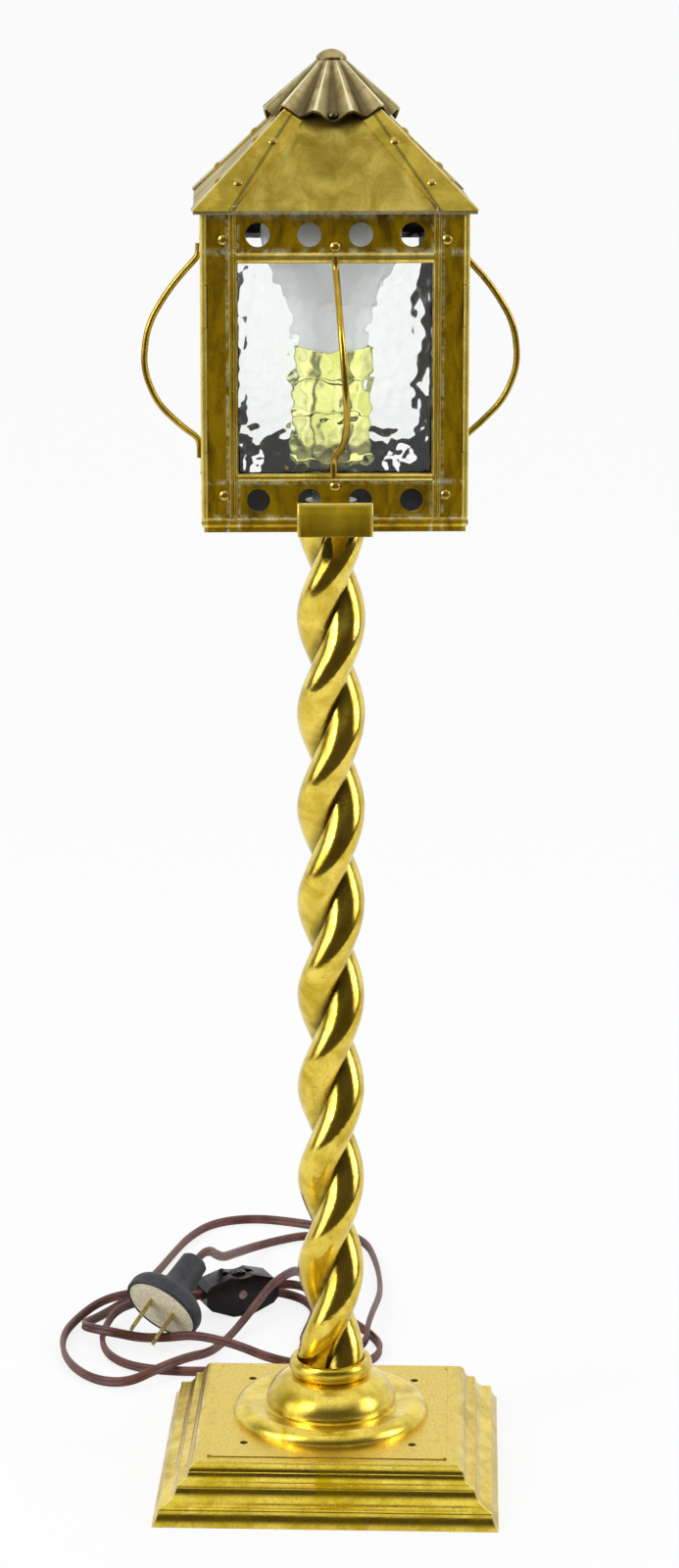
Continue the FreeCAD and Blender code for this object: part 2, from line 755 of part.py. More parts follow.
# ---- doors -----------------------------------------------------------------------------------
def door_panel(side):
    """Side sheet hung on the front corner's hinge wire by two knuckles."""
    low = rim_top + part_gap
    high = eave_under - part_gap
    hinge_edge = -hinge_reach + barrel_radius + part_gap
    free_edge = face - sheet - part_gap
    sign = 1 if side == "right_door" else -1
    ends = sorted((sign * hinge_edge, sign * free_edge))
    sheet_plate = windowed_sheet(ends[0], ends[1], low, high)
    panel = turn_about_z(sheet_plate, SIDES[side])
    x = sign * hinge_reach
    for z in KNUCKLES:
        knuckle = barrel(x, -hinge_reach, z, z + knuckle_length)
        arm_x = sorted((sign * (face - sheet), sign * face))
        arm = block(arm_x[0], arm_x[1], -hinge_reach + 0.2, hinge_edge + 0.6, z, z + knuckle_length)
        panel = panel.fuse(knuckle).fuse(arm)
    return panel.cut(pin_hole(x, -hinge_reach)).removeSplitter()


def door_catch(side):
    """Sprung strip with a small pull, near the free edge of the door."""
    sign = 1 if side == "right_door" else -1
    z = rim_top + catch_rise
    y = face - catch_set_in
    strip = block(0, sheet, y - catch_width, y, z, z + catch_height)
    middle = Vector(0, y - catch_width / 2, z + catch_height / 2)
    knob = rod(catch_knob, middle, middle.add(Vector(2.2, 0, 0)))
    piece = joined([strip, knob])
    if sign < 0:
        piece = piece.mirror(Vector(0, 0, 0), Vector(1, 0, 0))
    piece.translate(Vector(sign * face, 0, 0))
    return piece


# ---- roof, straps, vent ----------------------------------------------------------------------
def pyramid(lift_by, top_half):
    """Solid 45 degree pyramid on the eave ring, raised by lift_by and cut at top_half."""
    run = eave_half - top_half
    return moulded_square((eave_half + lift_by, eave_top), [(top_half, eave_top + run + lift_by)])


def roof_shell():
    drop = roof_wall * math.sqrt(2)
    shell = pyramid(0, roof_top_half)
    shell = shell.cut(pyramid(-drop, roof_top_half - 4))
    return shell.cut(block(-(roof_top_half - 1.6), roof_top_half - 1.6, -(roof_top_half - 1.6),
                           roof_top_half - 1.6, eave_top + 20, eave_top + 60))


def eave_ring():
    out = eave_half + 0.4
    ring = block(-out, out, -out, out, eave_under, eave_top)
    return ring.cut(block(-eave_ring_inner, eave_ring_inner, -eave_ring_inner, eave_ring_inner,
                          eave_under - 1, eave_top + 1))


def hip_straps():
    """Four strips folded over the hips, narrower at the top."""
    rise = strap_thickness * math.sqrt(2)
    skin = pyramid(rise, roof_top_half).cut(pyramid(0, roof_top_half - 6))
    foot = eave_half + rise
    plan = [(foot, foot), (eave_half - strap_foot_width, foot),
            (roof_top_half - strap_head_width, roof_top_half + 0.4),
            (roof_top_half + 0.4, roof_top_half - strap_head_width),
            (foot, eave_half - strap_foot_width)]
    corners = [Vector(x, y, eave_top) for x, y in plan + plan[:1]]
    cutter = Part.Face(Part.makePolygon(corners)).extrude(Vector(0, 0, eave_half - roof_top_half))
    strap = skin.common(cutter)
    opening = rod(strap_head_reach, Vector(0, 0, eave_top), Vector(0, 0, eave_top + 2 * eave_half))
    strap = strap.cut(opening)
    return [turn_about_z(strap, quarter * 90) for quarter in range(4)]


def roof_rivets():
    """Two rivets through each wing of each strap."""
    heads = []
    out = Vector(0, -1, 1)
    out.normalize()
    spots = [(roof_rivet_low, roof_rivet_low_inset), (roof_rivet_high, roof_rivet_high_inset)]
    for quarter in range(4):
        for sign in (-1, 1):
            for inward, inset in spots:
                y = -(eave_half - inward)
                spot = Vector(sign * (-y - inset), y, eave_top + inward)
                seat = spot.add(out * strap_thickness)
                head = set_in_place(dome_head(rivet_radius, rivet_height), seat, Vector(1, 0, 0), out)
                heads.append(turn_about_z(head, quarter * 90))
    return heads


def closed_curve(points):
    curve = Part.BSplineCurve()
    curve.interpolate(points, True)
    return curve.toShape()


def flute_curve(radius, height, reach, depth, drape):
    """Closed wavy ring with a valley at the front, draped over the four hips."""
    steps = cap_flutes * 4
    points = []
    for i in range(steps):
        angle = 2 * math.pi * i / steps
        wave = math.cos(cap_flutes * angle)
        r = radius - reach * wave
        level = height - depth * wave - drape * math.cos(4 * angle)
        points.append(Vector(r * math.cos(angle), r * math.sin(angle), level))
    return closed_curve(points)


def vent_cap():
    """Fluted cone: wavy hem, plain round top, sheet thick all over."""
    hem_z = eave_top + cap_hem_height
    top_z = eave_top + cap_top_height
    outer_hem = flute_curve(cap_hem_radius, hem_z, cap_ridge_reach, cap_flute_depth, cap_drape)
    inner_hem = flute_curve(cap_hem_radius - cap_wall * 0.7, hem_z - cap_wall * 0.9,
                            cap_ridge_reach, cap_flute_depth, cap_drape)
    outer_top = flute_curve(cap_top_radius, top_z, 0, 0, 0)
    inner_top = flute_curve(cap_top_radius - cap_wall * 0.7, top_z - cap_wall * 0.9, 0, 0, 0)
    outer_side = Part.makeRuledSurface(outer_hem, outer_top)
    inner_side = Part.makeRuledSurface(inner_hem, inner_top)
    hem_edge = Part.makeRuledSurface(outer_hem, inner_hem)
    top_disc = Part.Face(Part.Wire([outer_top]))
    under_disc = Part.Face(Part.Wire([inner_top]))
    shell = Part.Shell([outer_side, hem_edge, inner_side, top_disc, under_disc])
    solid = Part.Solid(shell)
    if solid.Volume < 0:
        solid.reverse()
    for half_turn in (0, 180):
        solid = solid.cut(turn_about_z(screw_shank(run_gap), half_turn))
    return solid


def trough_height(reach):
    """Height of the cap's upper surface in the front valley, at a distance from the axis."""
    hem_z = eave_top + cap_hem_height - cap_flute_depth - cap_drape
    hem_r = cap_hem_radius - cap_ridge_reach
    share = (hem_r - reach) / (hem_r - cap_top_radius)
    return hem_z + share * (eave_top + cap_top_height - hem_z)


def screw_frame(shape):
    """Place a shape made along Z on the front valley of the cap, square to its slope."""
    reach = cap_screw_reach
    rise = trough_height(reach - 1) - trough_height(reach)
    out = Vector(0, -rise, 1)
    out.normalize()
    seat = Vector(0, -reach, trough_height(reach)).add(out * cap_screw_lift)
    return set_in_place(shape, seat, Vector(1, 0, 0), out)


def screw_shank(gap):
    return screw_frame(rod(cap_screw_shank + gap, Vector(0, 0, -cap_screw_length), Vector(0, 0, 0.1)))


def cap_screws():
    """One screw at the front and one at the back."""
    screw = joined([screw_shank(0), screw_frame(dome_head(cap_screw_radius, 1.2))])
    return [screw, turn_about_z(screw, 180)]


def roof_height(x, y):
    return eave_top + eave_half - max(abs(x), abs(y))


def cap_underside(radius, angle):
    """Height of the cap's inner surface at a distance from the axis."""
    wave = math.cos(cap_flutes * angle)
    hem_radius = cap_hem_radius - cap_wall * 0.7 - cap_ridge_reach * wave
    hem_z = eave_top + cap_hem_height - cap_wall * 0.9 - cap_flute_depth * wave
    hem_z -= cap_drape * math.cos(4 * angle)
    top_radius = cap_top_radius - cap_wall * 0.7
    top_z = eave_top + cap_top_height - cap_wall * 0.9
    return hem_z + (top_z - hem_z) * (hem_radius - radius) / (hem_radius - top_radius)


def vent_collar():
    """Ring between roof and cap: its foot follows the four slopes, its top the flutes."""
    edges = []
    for radius in (vent_collar_radius, vent_collar_radius - vent_collar_wall):
        low = []
        high = []
        for i in range(cap_flutes * 8):
            angle = 2 * math.pi * i / (cap_flutes * 8)
            x = radius * math.cos(angle)
            y = radius * math.sin(angle)
            low.append(Vector(x, y, roof_height(x, y) + vent_collar_gap))
            high.append(Vector(x, y, cap_underside(radius, angle) - vent_collar_gap))
        edges += [closed_curve(low), closed_curve(high)]
    outer_low, outer_high, inner_low, inner_high = edges
    shell = Part.Shell([Part.makeRuledSurface(outer_low, outer_high),
                        Part.makeRuledSurface(outer_high, inner_high),
                        Part.makeRuledSurface(inner_high, inner_low),
                        Part.makeRuledSurface(inner_low, outer_low)])
    solid = Part.Solid(shell)
    if solid.Volume < 0:
        solid.reverse()
    return solid


def cap_button():
    z = eave_top + cap_top_height
    edge = 0.2 * button_height
    return turned((0, z), [(button_radius, z), (button_radius, z + edge),
                           crown(button_radius, z + edge, button_height - edge)])


# ---- socket and bulb -------------------------------------------------------------------------
def socket_cap():
    z = socket_foot
    top = z + socket_cap_height
    r = socket_radius
    w = socket_wall
    return turned((rod_radius + run_gap, z), [
        (socket_cap_neck, z), (socket_cap_neck, socket_step),
        ((r - 2.2, socket_step + 2.4), (r, socket_step + 6.5)),
        (r, top - 1.6), (r + 0.6, top - 0.8), (r, top), (r - w, top),
        (r - w, socket_step + 6.5),
        ((r - 3.2, socket_step + 3.4), (socket_cap_neck - 1.2, socket_step + 1.0)),
        (rod_radius + run_gap, socket_step + 1.0)])


def socket_shell():
    z = socket_foot + socket_cap_height
    r = socket_radius
    w = socket_wall
    beads = []
    for height in (socket_bead_low, socket_bead_high):
        level = z + height
        beads += [(r, level - 1.2), ((r + 0.7, level), (r, level + 1.2))]
    return turned((r - w, z), [(r, z)] + beads + [(r, socket_rim - 0.6), (r - 0.3, socket_rim),
                                                  (r - w, socket_rim)])


def socket_liner():
    outer = socket_radius - socket_wall - run_gap
    low = socket_foot + socket_cap_height - 3.0
    sleeve = rod(outer, Vector(0, 0, low), Vector(0, 0, socket_rim - 1.0))
    return sleeve.cut(rod(outer - liner_wall, Vector(0, 0, low - 1), Vector(0, 0, socket_rim)))


def core_radius():
    return socket_radius - socket_wall - liner_wall - 2 * run_gap


def socket_core():
    body = rod(core_radius() - 0.1, Vector(0, 0, core_foot + 2.0), Vector(0, 0, screw_shell_foot))
    neck = rod(core_radius() - 4.0, Vector(0, 0, core_foot), Vector(0, 0, core_foot + 2.0))
    return joined([body, neck]).cut(
        rod(rod_bore, Vector(0, 0, core_foot - 1), Vector(0, 0, screw_shell_foot - 4.0)))


def screw_shell():
    z = screw_shell_foot
    cup = rod(screw_shell_radius, Vector(0, 0, z), Vector(0, 0, z + screw_shell_height))
    return cup.cut(rod(screw_shell_radius - 0.5, Vector(0, 0, z + 0.5),
                       Vector(0, 0, z + screw_shell_height + 1)))


def bulb_base():
    z = bulb_foot
    return turned((0, screw_shell_foot + 0.5), [
        (4.0, screw_shell_foot + 0.5), (4.5, z), (bulb_base_radius - 3, z),
        (bulb_base_radius, z + 3), (bulb_base_radius, bulb_neck_foot), (0, bulb_neck_foot)])


def bulb_profile(shrink):
    """Pear shape of the bulb's glass; shrink moves it inwards for the inner face."""
    z = bulb_neck_foot
    top = z + bulb_height - shrink
    centre = z + bulb_height - bulb_radius
    r = bulb_radius - shrink
    neck = bulb_neck_radius - shrink
    lean = math.radians(28)
    shoulder = (r * math.cos(lean), centre - r * math.sin(lean))
    brow = (r * math.cos(lean), centre + r * math.sin(lean))
    belly = (neck + 3.4, z + 0.36 * bulb_height)
    return [(neck, z), (neck, z + bulb_neck_straight), belly, shoulder, ((r, centre), brow),
            ((r * math.cos(math.radians(58)), centre + r * math.sin(math.radians(58))), (0, top))]


def bulb_glass():
    outer = bulb_profile(0)
    inner = bulb_profile(bulb_wall)
    solid_bulb = turned((0, bulb_neck_foot), outer)
    hollow = turned((0, bulb_neck_foot), inner)
    hollow.translate(Vector(0, 0, bulb_wall))
    return solid_bulb.cut(hollow)


def lamp_leads():
    """The cord's two conductors, from inside the base up through the pipe."""
    leads = []
    bend_top = bushing_height + lead_bend
    for sign in (-1, 1):
        x = sign * lead_spacing / 2
        run = Part.LineSegment(Vector(x, cord_inside, bushing_height), Vector(x, lead_bend, bushing_height))
        root = lead_bend * (1 - math.sqrt(0.5))
        bend = Part.Arc(Vector(x, lead_bend, bushing_height), Vector(x, root, bushing_height + root),
                        Vector(x, 0, bend_top))
        climb = Part.LineSegment(Vector(x, 0, bend_top), Vector(x, 0, screw_shell_foot - 4.0))
        path = Part.Wire([run.toShape(), bend.toShape(), climb.toShape()])
        section = Part.Wire([Part.Circle(Vector(x, cord_inside, bushing_height), Vector(0, -1, 0),
                                         lead_radius).toShape()])
        leads.append(path.makePipeShell([section], True, False))
    return leads


# ---- in-line switch, made lying along X with its face to -Y, then turned ---------------------
def switch_outline():
    """Long hexagon with blunt noses, its lower flat resting on the floor."""
    half = switch_length / 2
    near = half - 2.6
    return outline((-half, -switch_nose_half), [
        (-near, -switch_end_half), (-switch_flat, -switch_foot), (switch_flat, -switch_foot),
        (near, -switch_end_half), (half, -switch_nose_half), (half, switch_nose_half),
        (near, switch_end_half), (switch_flat, switch_crown), (-switch_flat, switch_crown),
        (-near, switch_end_half), (-half, switch_nose_half)])


def in_switch_place(shape):
    heading = math.radians(switch_heading)
    along = Vector(math.cos(heading), math.sin(heading), 0)
    return set_in_place(shape, switch_centre, along, Vector(0, 0, 1))


def switch_half(sign):
    """One half of the body: sign -1 is the front half, +1 the back half."""
    half_t = switch_thickness / 2
    body = Part.Face(switch_outline()).extrude(Vector(0, sign * half_t, 0))
    pocket_half = wheel_thickness / 2 + 0.2
    pocket = rod(wheel_radius + 0.25, Vector(0, -pocket_half, 0), Vector(0, pocket_half, 0))
    window = block(-wheel_window, wheel_window, -pocket_half, pocket_half, 4.0, switch_crown + 1)
    scoop = rod(14.0, Vector(0, -half_t - 1, switch_crown + 12.6), Vector(0, half_t + 1, switch_crown + 12.6))
    bore = rod(cord_bore, Vector(-switch_length, 0, 0), Vector(switch_length, 0, 0))
    for cut in (pocket, window, scoop, bore, rod(rivet_pin_radius + run_gap, Vector(0, -20, 0),
                                                 Vector(0, 20, 0))):
        body = body.cut(cut)
    return in_switch_place(body)


def switch_wheel():
    half = wheel_thickness / 2
    wheel = rod(wheel_radius, Vector(0, -half, 0), Vector(0, half, 0))
    for i in range(wheel_knurls):
        angle = 2 * math.pi * (i + 0.5) / wheel_knurls
        at = Vector((wheel_radius + 0.35) * math.cos(angle), 0, (wheel_radius + 0.35) * math.sin(angle))
        wheel = wheel.cut(rod(0.7, at.add(Vector(0, -half - 1, 0)), at.add(Vector(0, half + 1, 0))))
    wheel = wheel.cut(rod(rivet_pin_radius + run_gap, Vector(0, -20, 0), Vector(0, 20, 0)))
    return in_switch_place(wheel)


def switch_rivet():
    half = switch_thickness / 2
    pin = rod(rivet_pin_radius, Vector(0, -half, 0), Vector(0, half, 0))
    heads = []
    for sign in (-1, 1):
        head = dome_head(rivet_head_radius, 0.7)
        heads.append(set_in_place(head, Vector(0, sign * half, 0), Vector(1, 0, 0), Vector(0, sign, 0)))
    return in_switch_place(joined([pin] + heads))


# ---- plug, made with its face down at z = 0 and its neck up ----------------------------------
def in_plug_place(shape):
    across = plug_blade_line.sub(plug_w * plug_w.dot(plug_blade_line))
    across.normalize()
    return set_in_place(shape, plug_centre, across, plug_w)


def blade_slot(sign, grow, low, high):
    middle = sign * blade_spacing / 2
    half_t = blade_thickness / 2 + grow
    half_w = blade_width / 2 + grow
    return block(middle - half_t, middle + half_t, -half_w, half_w, low, high)


def plug_body():
    recess = disc_thickness + 0.3
    body = turned((0, recess), [
        (disc_radius + run_gap, recess), (disc_radius + run_gap, 0), (plug_radius - 0.5, 0),
        (plug_radius, 0.8), (plug_radius, plug_rim),
        ((plug_radius - 1.6, plug_rim + 3.4), (plug_radius - 5.5, plug_rim + 5.6)),
        ((plug_neck + 2.6, plug_rim + 8.6), (plug_neck + 0.6, plug_rim + 13.0)),
        (plug_neck, plug_length - 1.4), (plug_neck - 1.4, plug_length), (0, plug_length)])
    body = body.cut(rod(cord_bore, Vector(0, 0, plug_length - 11), Vector(0, 0, plug_length + 1)))
    for sign in (-1, 1):
        body = body.cut(blade_slot(sign, run_gap, 0, recess + blade_root))
    return in_plug_place(body)


def plug_disc():
    disc = rod(disc_radius, Vector(0, 0, 0.3), Vector(0, 0, 0.3 + disc_thickness))
    for sign in (-1, 1):
        disc = disc.cut(blade_slot(sign, run_gap, -1, 3))
    return in_plug_place(disc)


def plug_blades():
    blades = []
    for sign in (-1, 1):
        blade = blade_slot(sign, 0, -blade_length, disc_thickness + 0.3 + blade_root - run_gap)
        side = sign * blade_spacing / 2
        hole = rod(1.6, Vector(side - 3, 0, 4.0 - blade_length), Vector(side + 3, 0, 4.0 - blade_length))
        ends = [edge for edge in blade.Edges
                if abs(edge.CenterOfMass.z + blade_length) < 0.01 and edge.Length < blade_thickness + 0.1]
        blades.append(in_plug_place(blade.makeFillet(1.4, ends).cut(hole)))
    return blades


# ---- write every node ------------------------------------------------------------------------
os.makedirs("parts", exist_ok=True)

export("base_shell", base_shell())
export("base_weight", base_weight())
export("bottom_cover", bottom_cover())
export("base_felt", base_felt())
export("cord_bushing", cord_bushing())
export("collar", collar())
export("neck_ring", neck_ring())
export("twist_column", twist_column())
export("lamp_pipe", lamp_pipe())
nut_floors = [weight_under - washer_height - nut_height, tray_top + washer_height]
export("pipe_nuts", [hex_nut(z) for z in nut_floors])
export("pipe_washers", [washer(weight_under - washer_height), washer(tray_top)])
export_turned("saddle_bracket", saddle_bracket())
export_turned("under_plate", under_plate())
export_turned("lantern_tray", lantern_tray())
export_turned("front_panel", front_panel())
export_turned("back_panel", back_panel())
export_turned("hinge_pins", hinge_pins())

panel_trim = []
panel_rivets = []
for side, turn in SIDES.items():
    is_door = side.endswith("door")
    gap = part_gap if is_door else 0.0
    if is_door:
        export_turned(side + "_panel", door_panel(side))
        export_turned(side + "_catch", door_catch(side))
    trim = [turn_about_z(piece, turn) for piece in face_trim(rim_top + gap, eave_under - gap)]
    rivets = [turn_about_z(piece, turn) for piece in face_rivets()]
    if is_door:
        export_turned(side + "_trim", trim)
        export_turned(side + "_rivets", rivets)
    else:
        panel_trim += trim
        panel_rivets += rivets
    export_turned(side + "_glass", turn_about_z(face_glass(), turn))
    export_turned(side + "_guard", turn_about_z(face_guard(), turn))
export_turned("panel_trim", panel_trim)
export_turned("panel_rivets", panel_rivets)

export_turned("eave_ring", eave_ring())
export_turned("roof_shell", roof_shell())
export_turned("hip_straps", hip_straps())
export_turned("roof_rivets", roof_rivets())
export_turned("vent_collar", vent_collar())
export_turned("vent_cap", vent_cap())
export_turned("cap_button", cap_button())
export_turned("cap_screws", cap_screws())

export("socket_cap", socket_cap())
export("socket_shell", socket_shell())
export("socket_liner", socket_liner())
export("socket_core", socket_core())
export("screw_shell", screw_shell())
export("bulb_base", bulb_base())
export("bulb_glass", bulb_glass())
export("lamp_leads", lamp_leads())

export("cord_tail", tube(tail_route, cord_diameter / 2, "tail"))
export("cord_lead", tube(lead_route, cord_diameter / 2, "lead"))
export("switch_front", switch_half(-1))
export("switch_back", switch_half(1))
export("switch_wheel", switch_wheel())
export("switch_rivet", switch_rivet())
export("plug_body", plug_body())
export("plug_disc", plug_disc())
export("plug_blades", plug_blades())
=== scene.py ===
# %% [markdown]
# # A brass lantern table lamp
# The metalwork comes in as a finished frame: every sheet, wire, nut and hinge already has its real
# size and place. This lesson dresses it. It sets the camera and the light, lays the cord, makes the
# hammered panes and the soft-edged pieces, and gives each metal its polish, patina and verdigris.

# %% Load the frame
import math
import bmesh
import bpy
from mathutils import Matrix, Vector, noise


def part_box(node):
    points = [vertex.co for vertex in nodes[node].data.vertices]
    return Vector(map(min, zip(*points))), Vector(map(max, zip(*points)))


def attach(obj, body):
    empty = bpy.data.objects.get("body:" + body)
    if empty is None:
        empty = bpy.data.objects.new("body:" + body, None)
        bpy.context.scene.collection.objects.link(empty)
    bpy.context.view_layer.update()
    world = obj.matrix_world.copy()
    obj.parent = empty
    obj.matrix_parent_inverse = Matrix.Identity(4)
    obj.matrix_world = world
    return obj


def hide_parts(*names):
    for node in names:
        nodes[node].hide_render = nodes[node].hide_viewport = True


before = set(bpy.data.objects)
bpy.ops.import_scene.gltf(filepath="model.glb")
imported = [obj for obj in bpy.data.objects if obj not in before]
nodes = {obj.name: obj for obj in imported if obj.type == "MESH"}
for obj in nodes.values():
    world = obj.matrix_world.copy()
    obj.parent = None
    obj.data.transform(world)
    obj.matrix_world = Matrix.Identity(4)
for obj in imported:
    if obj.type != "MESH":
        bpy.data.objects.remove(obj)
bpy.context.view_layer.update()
mm = 0.001
LANTERN_TURN = math.radians(3.7)      # the lantern stands a little turned on its column

# %% [markdown]
# ## The camera
# A lamp like this is photographed from a little above its top, so that the steps of the base show, and
# from far enough away that the column stays nearly straight. The lens is given by its focal length in
# pixels of a picture 1600 high, which keeps the framing the same whatever size the render is. A camera
# could be aimed with a constraint, but three turns, in radians, say exactly where it looks.

# %% Place the camera
FOCAL_PIXELS = 3989.63
PICTURE_HEIGHT = 1600
SENSOR = 36.0
CAMERA_PLACE = (0.057365, -1.661136, 0.715990)
YAW, PITCH, ROLL = -0.032284, 0.235486, 0.000914
camera_data = bpy.data.cameras.new("portrait_lens")
camera_data.sensor_width = SENSOR
camera_data.lens = FOCAL_PIXELS / PICTURE_HEIGHT * SENSOR
camera_data.clip_start = 0.05
camera_data.clip_end = 90.0
camera = bpy.data.objects.new("camera", camera_data)
bpy.context.scene.collection.objects.link(camera)
bpy.context.scene.camera = camera

level_ahead = Vector((math.sin(YAW), math.cos(YAW), 0))
level_right = Vector((math.cos(YAW), -math.sin(YAW), 0))
ahead = level_ahead * math.cos(PITCH) - Vector((0, 0, 1)) * math.sin(PITCH)
upward = Vector((0, 0, 1)) * math.cos(PITCH) + level_ahead * math.sin(PITCH)
right = level_right * math.cos(ROLL) + upward * math.sin(ROLL)
top = upward * math.cos(ROLL) - level_right * math.sin(ROLL)
turn = Matrix((right, top, -ahead)).transposed().to_4x4()
camera.matrix_world = Matrix.Translation(CAMERA_PLACE) @ turn
print("lens", round(camera_data.lens, 2), "mm")

# %% [markdown]
# ## Shader helpers
# Every finish below is a small network of nodes. It could be wired by hand in the shader editor, but
# these helpers keep each finish short: one adds a node, one blends two colours, one turns a grey
# pattern into a soft-edged mask, and one dents the surface. Patterns are read from Object
# coordinates, so they are fixed to the metal in real metres.

# %% Shader helpers
def add(tree, kind, inputs=None, settings=None, out=0):
    """Add one shader node; a value that is a socket is linked, any other is set."""
    made = tree.nodes.new("ShaderNode" + kind)
    for key, value in (settings or {}).items():
        setattr(made, key, value)
    for key, value in (inputs or {}).items():
        if isinstance(value, bpy.types.NodeSocket):
            tree.links.new(value, made.inputs[key])
        else:
            made.inputs[key].default_value = value
    return made.outputs[out]


def maths(tree, operation, a, b=0.0, clamp=False):
    return add(tree, "Math", {0: a, 1: b}, {"operation": operation, "use_clamp": clamp})


def blend(tree, share, a, b):
    """Blend two colours, each a socket or three numbers."""
    a = a if isinstance(a, bpy.types.NodeSocket) else (*a, 1.0)
    b = b if isinstance(b, bpy.types.NodeSocket) else (*b, 1.0)
    return add(tree, "Mix", {0: share, 6: a, 7: b}, {"data_type": "RGBA"}, 2)


def soft_step(tree, value, low, high, to_low=0.0, to_high=1.0):
    """Remap a value from low..high to to_low..to_high, held at both ends."""
    return add(tree, "MapRange", {0: value, 1: low, 2: high, 3: to_low, 4: to_high}, {"clamp": True})


def grain(tree, place, size, detail=3.0, rough=0.55, twist=0.0):
    """Cloudy noise whose blotches are about size metres across."""
    return add(tree, "TexNoise", {"Vector": place, "Scale": 1.0 / size, "Detail": detail,
                                  "Roughness": rough, "Distortion": twist})


def near(tree, value, level, reach):
    """1 where a coordinate is at a level, falling to 0 at reach metres from it."""
    gap = maths(tree, "ABSOLUTE", maths(tree, "SUBTRACT", value, level))
    return soft_step(tree, gap, 0.0, reach, 1.0, 0.0)


def dent(tree, height, depth, over=None):
    """Bump the surface by a pattern whose full swing is depth metres, over another bump."""
    inputs = {"Height": height, "Distance": depth}
    if over is not None:
        inputs["Normal"] = over
    return add(tree, "Bump", inputs)


print("pattern helpers ready")

# %% Finish helpers
def coordinates(tree, value):
    """The three coordinates of a vector."""
    split = tree.nodes.new("ShaderNodeSeparateXYZ")
    tree.links.new(value, split.inputs[0])
    return split.outputs


def new_finish(name):
    """An empty material with one Principled shader; gives material, tree, shader, place, axes."""
    material = bpy.data.materials.new(name)
    material.use_nodes = True
    tree = material.node_tree
    tree.nodes.clear()
    shader = tree.nodes.new("ShaderNodeBsdfPrincipled")
    output = tree.nodes.new("ShaderNodeOutputMaterial")
    tree.links.new(shader.outputs[0], output.inputs[0])
    place = add(tree, "TexCoord", out="Object")
    return material, tree, shader, place, coordinates(tree, place)


def opened(material):
    """The tree, shader, place and colour of a finish that gets more patterns laid over it."""
    tree = material.node_tree
    shader = next(n for n in tree.nodes if n.type == "BSDF_PRINCIPLED")
    place = next(n for n in tree.nodes if n.type == "TEX_COORD").outputs["Object"]
    return tree, shader, place, shader.inputs["Base Color"].links[0].from_socket


def lantern_axes(tree, place):
    """Coordinates along the lantern's own axes, which stand a little turned."""
    return coordinates(tree, add(tree, "Mapping", {"Vector": place, "Rotation": (0, 0, -LANTERN_TURN)}))


def lantern_sides(tree, place):
    """Distances from the lantern's two upright middle planes, and the height."""
    own = lantern_axes(tree, place)
    return maths(tree, "ABSOLUTE", own[0]), maths(tree, "ABSOLUTE", own[1]), own[2]


def lantern_points(node):
    """The points of a CAD piece along the lantern's own axes."""
    turned_back = Matrix.Rotation(-LANTERN_TURN, 3, "Z")
    return [turned_back @ v.co for v in nodes[node].data.vertices]


def paint(material, *names):
    """Give a finish to CAD pieces through their material slots."""
    for name in names:
        nodes[name].material_slots[0].material = material


print("finish helpers ready")

# %% [markdown]
# ## Light and floor
# Brass shows what is around it, so the room matters as much as the metal. An HDR picture could stand
# for the room, but a few masks of the direction are enough: darkness on the camera's side, which puts
# brown bands on polished brass, white behind the lamp and overhead, and a bright patch on each wall.
# The camera itself sees plain white behind the lamp, straight or through the glass, a little more of
# it through the glass, which swallows some.

# %% World
ROOM_DARK = (0.075, 0.060, 0.040)
ROOM_BRIGHT = (0.92, 0.93, 0.94)
WALL_PATCH = (2.3, 2.3, 2.9)
ROOM_STRENGTH = 1.05
THROUGH_GLASS = 1.19
world = bpy.data.worlds.new("studio")
bpy.context.scene.world = world
world.use_nodes = True
tree = world.node_tree
tree.nodes.clear()
direction = add(tree, "TexCoord", out="Generated")


def toward(tree, x, y, z, inner, outer):
    """1 within inner degrees of the direction (x, y, z), falling to 0 at outer degrees."""
    aim = Vector((x, y, z)).normalized()
    dot = add(tree, "VectorMath", {0: direction, 1: aim}, {"operation": "DOT_PRODUCT"}, "Value")
    return soft_step(tree, dot, math.cos(math.radians(outer)), math.cos(math.radians(inner)))


def seen_ray(tree):
    """1 for what the camera sees, straight or through glass."""
    path = tree.nodes.new("ShaderNodeLightPath").outputs
    return maths(tree, "MAXIMUM", path["Is Camera Ray"], path["Is Transmission Ray"])


compass = coordinates(tree, direction)
behind = soft_step(tree, compass[1], 0.02, 0.50)
overhead = soft_step(tree, compass[2], 0.52, 0.86)
left_wall = toward(tree, -1.0, -0.45, 0.30, 8, 24)
right_wall = toward(tree, 1.0, -0.22, 0.42, 8, 20)
room = blend(tree, maths(tree, "MAXIMUM", behind, overhead), ROOM_DARK, ROOM_BRIGHT)
room = blend(tree, maths(tree, "MAXIMUM", left_wall, right_wall), room, WALL_PATCH)
studio = add(tree, "Background", {"Color": room, "Strength": ROOM_STRENGTH})
through = add(tree, "LightPath", out="Is Transmission Ray")
white = add(tree, "Background", {"Color": (1, 1, 1, 1),
                                 "Strength": soft_step(tree, through, 0.0, 1.0, 1.0, THROUGH_GLASS)})
shown = add(tree, "MixShader", {0: seen_ray(tree), 1: studio, 2: white})
tree.links.new(shown, tree.nodes.new("ShaderNodeOutputWorld").inputs[0])
print("world", world.name)


# %% [markdown]
# Two rectangular lamps stand high on both sides: a strong one in front on the left, which gives the
# metal its shape and the floor a soft shadow, and a weak one that opens the shade on the right. The
# floor is one flat sheet. Its glow shows only to the camera, straight or through glass, so it looks
# white without throwing more light on the metal.

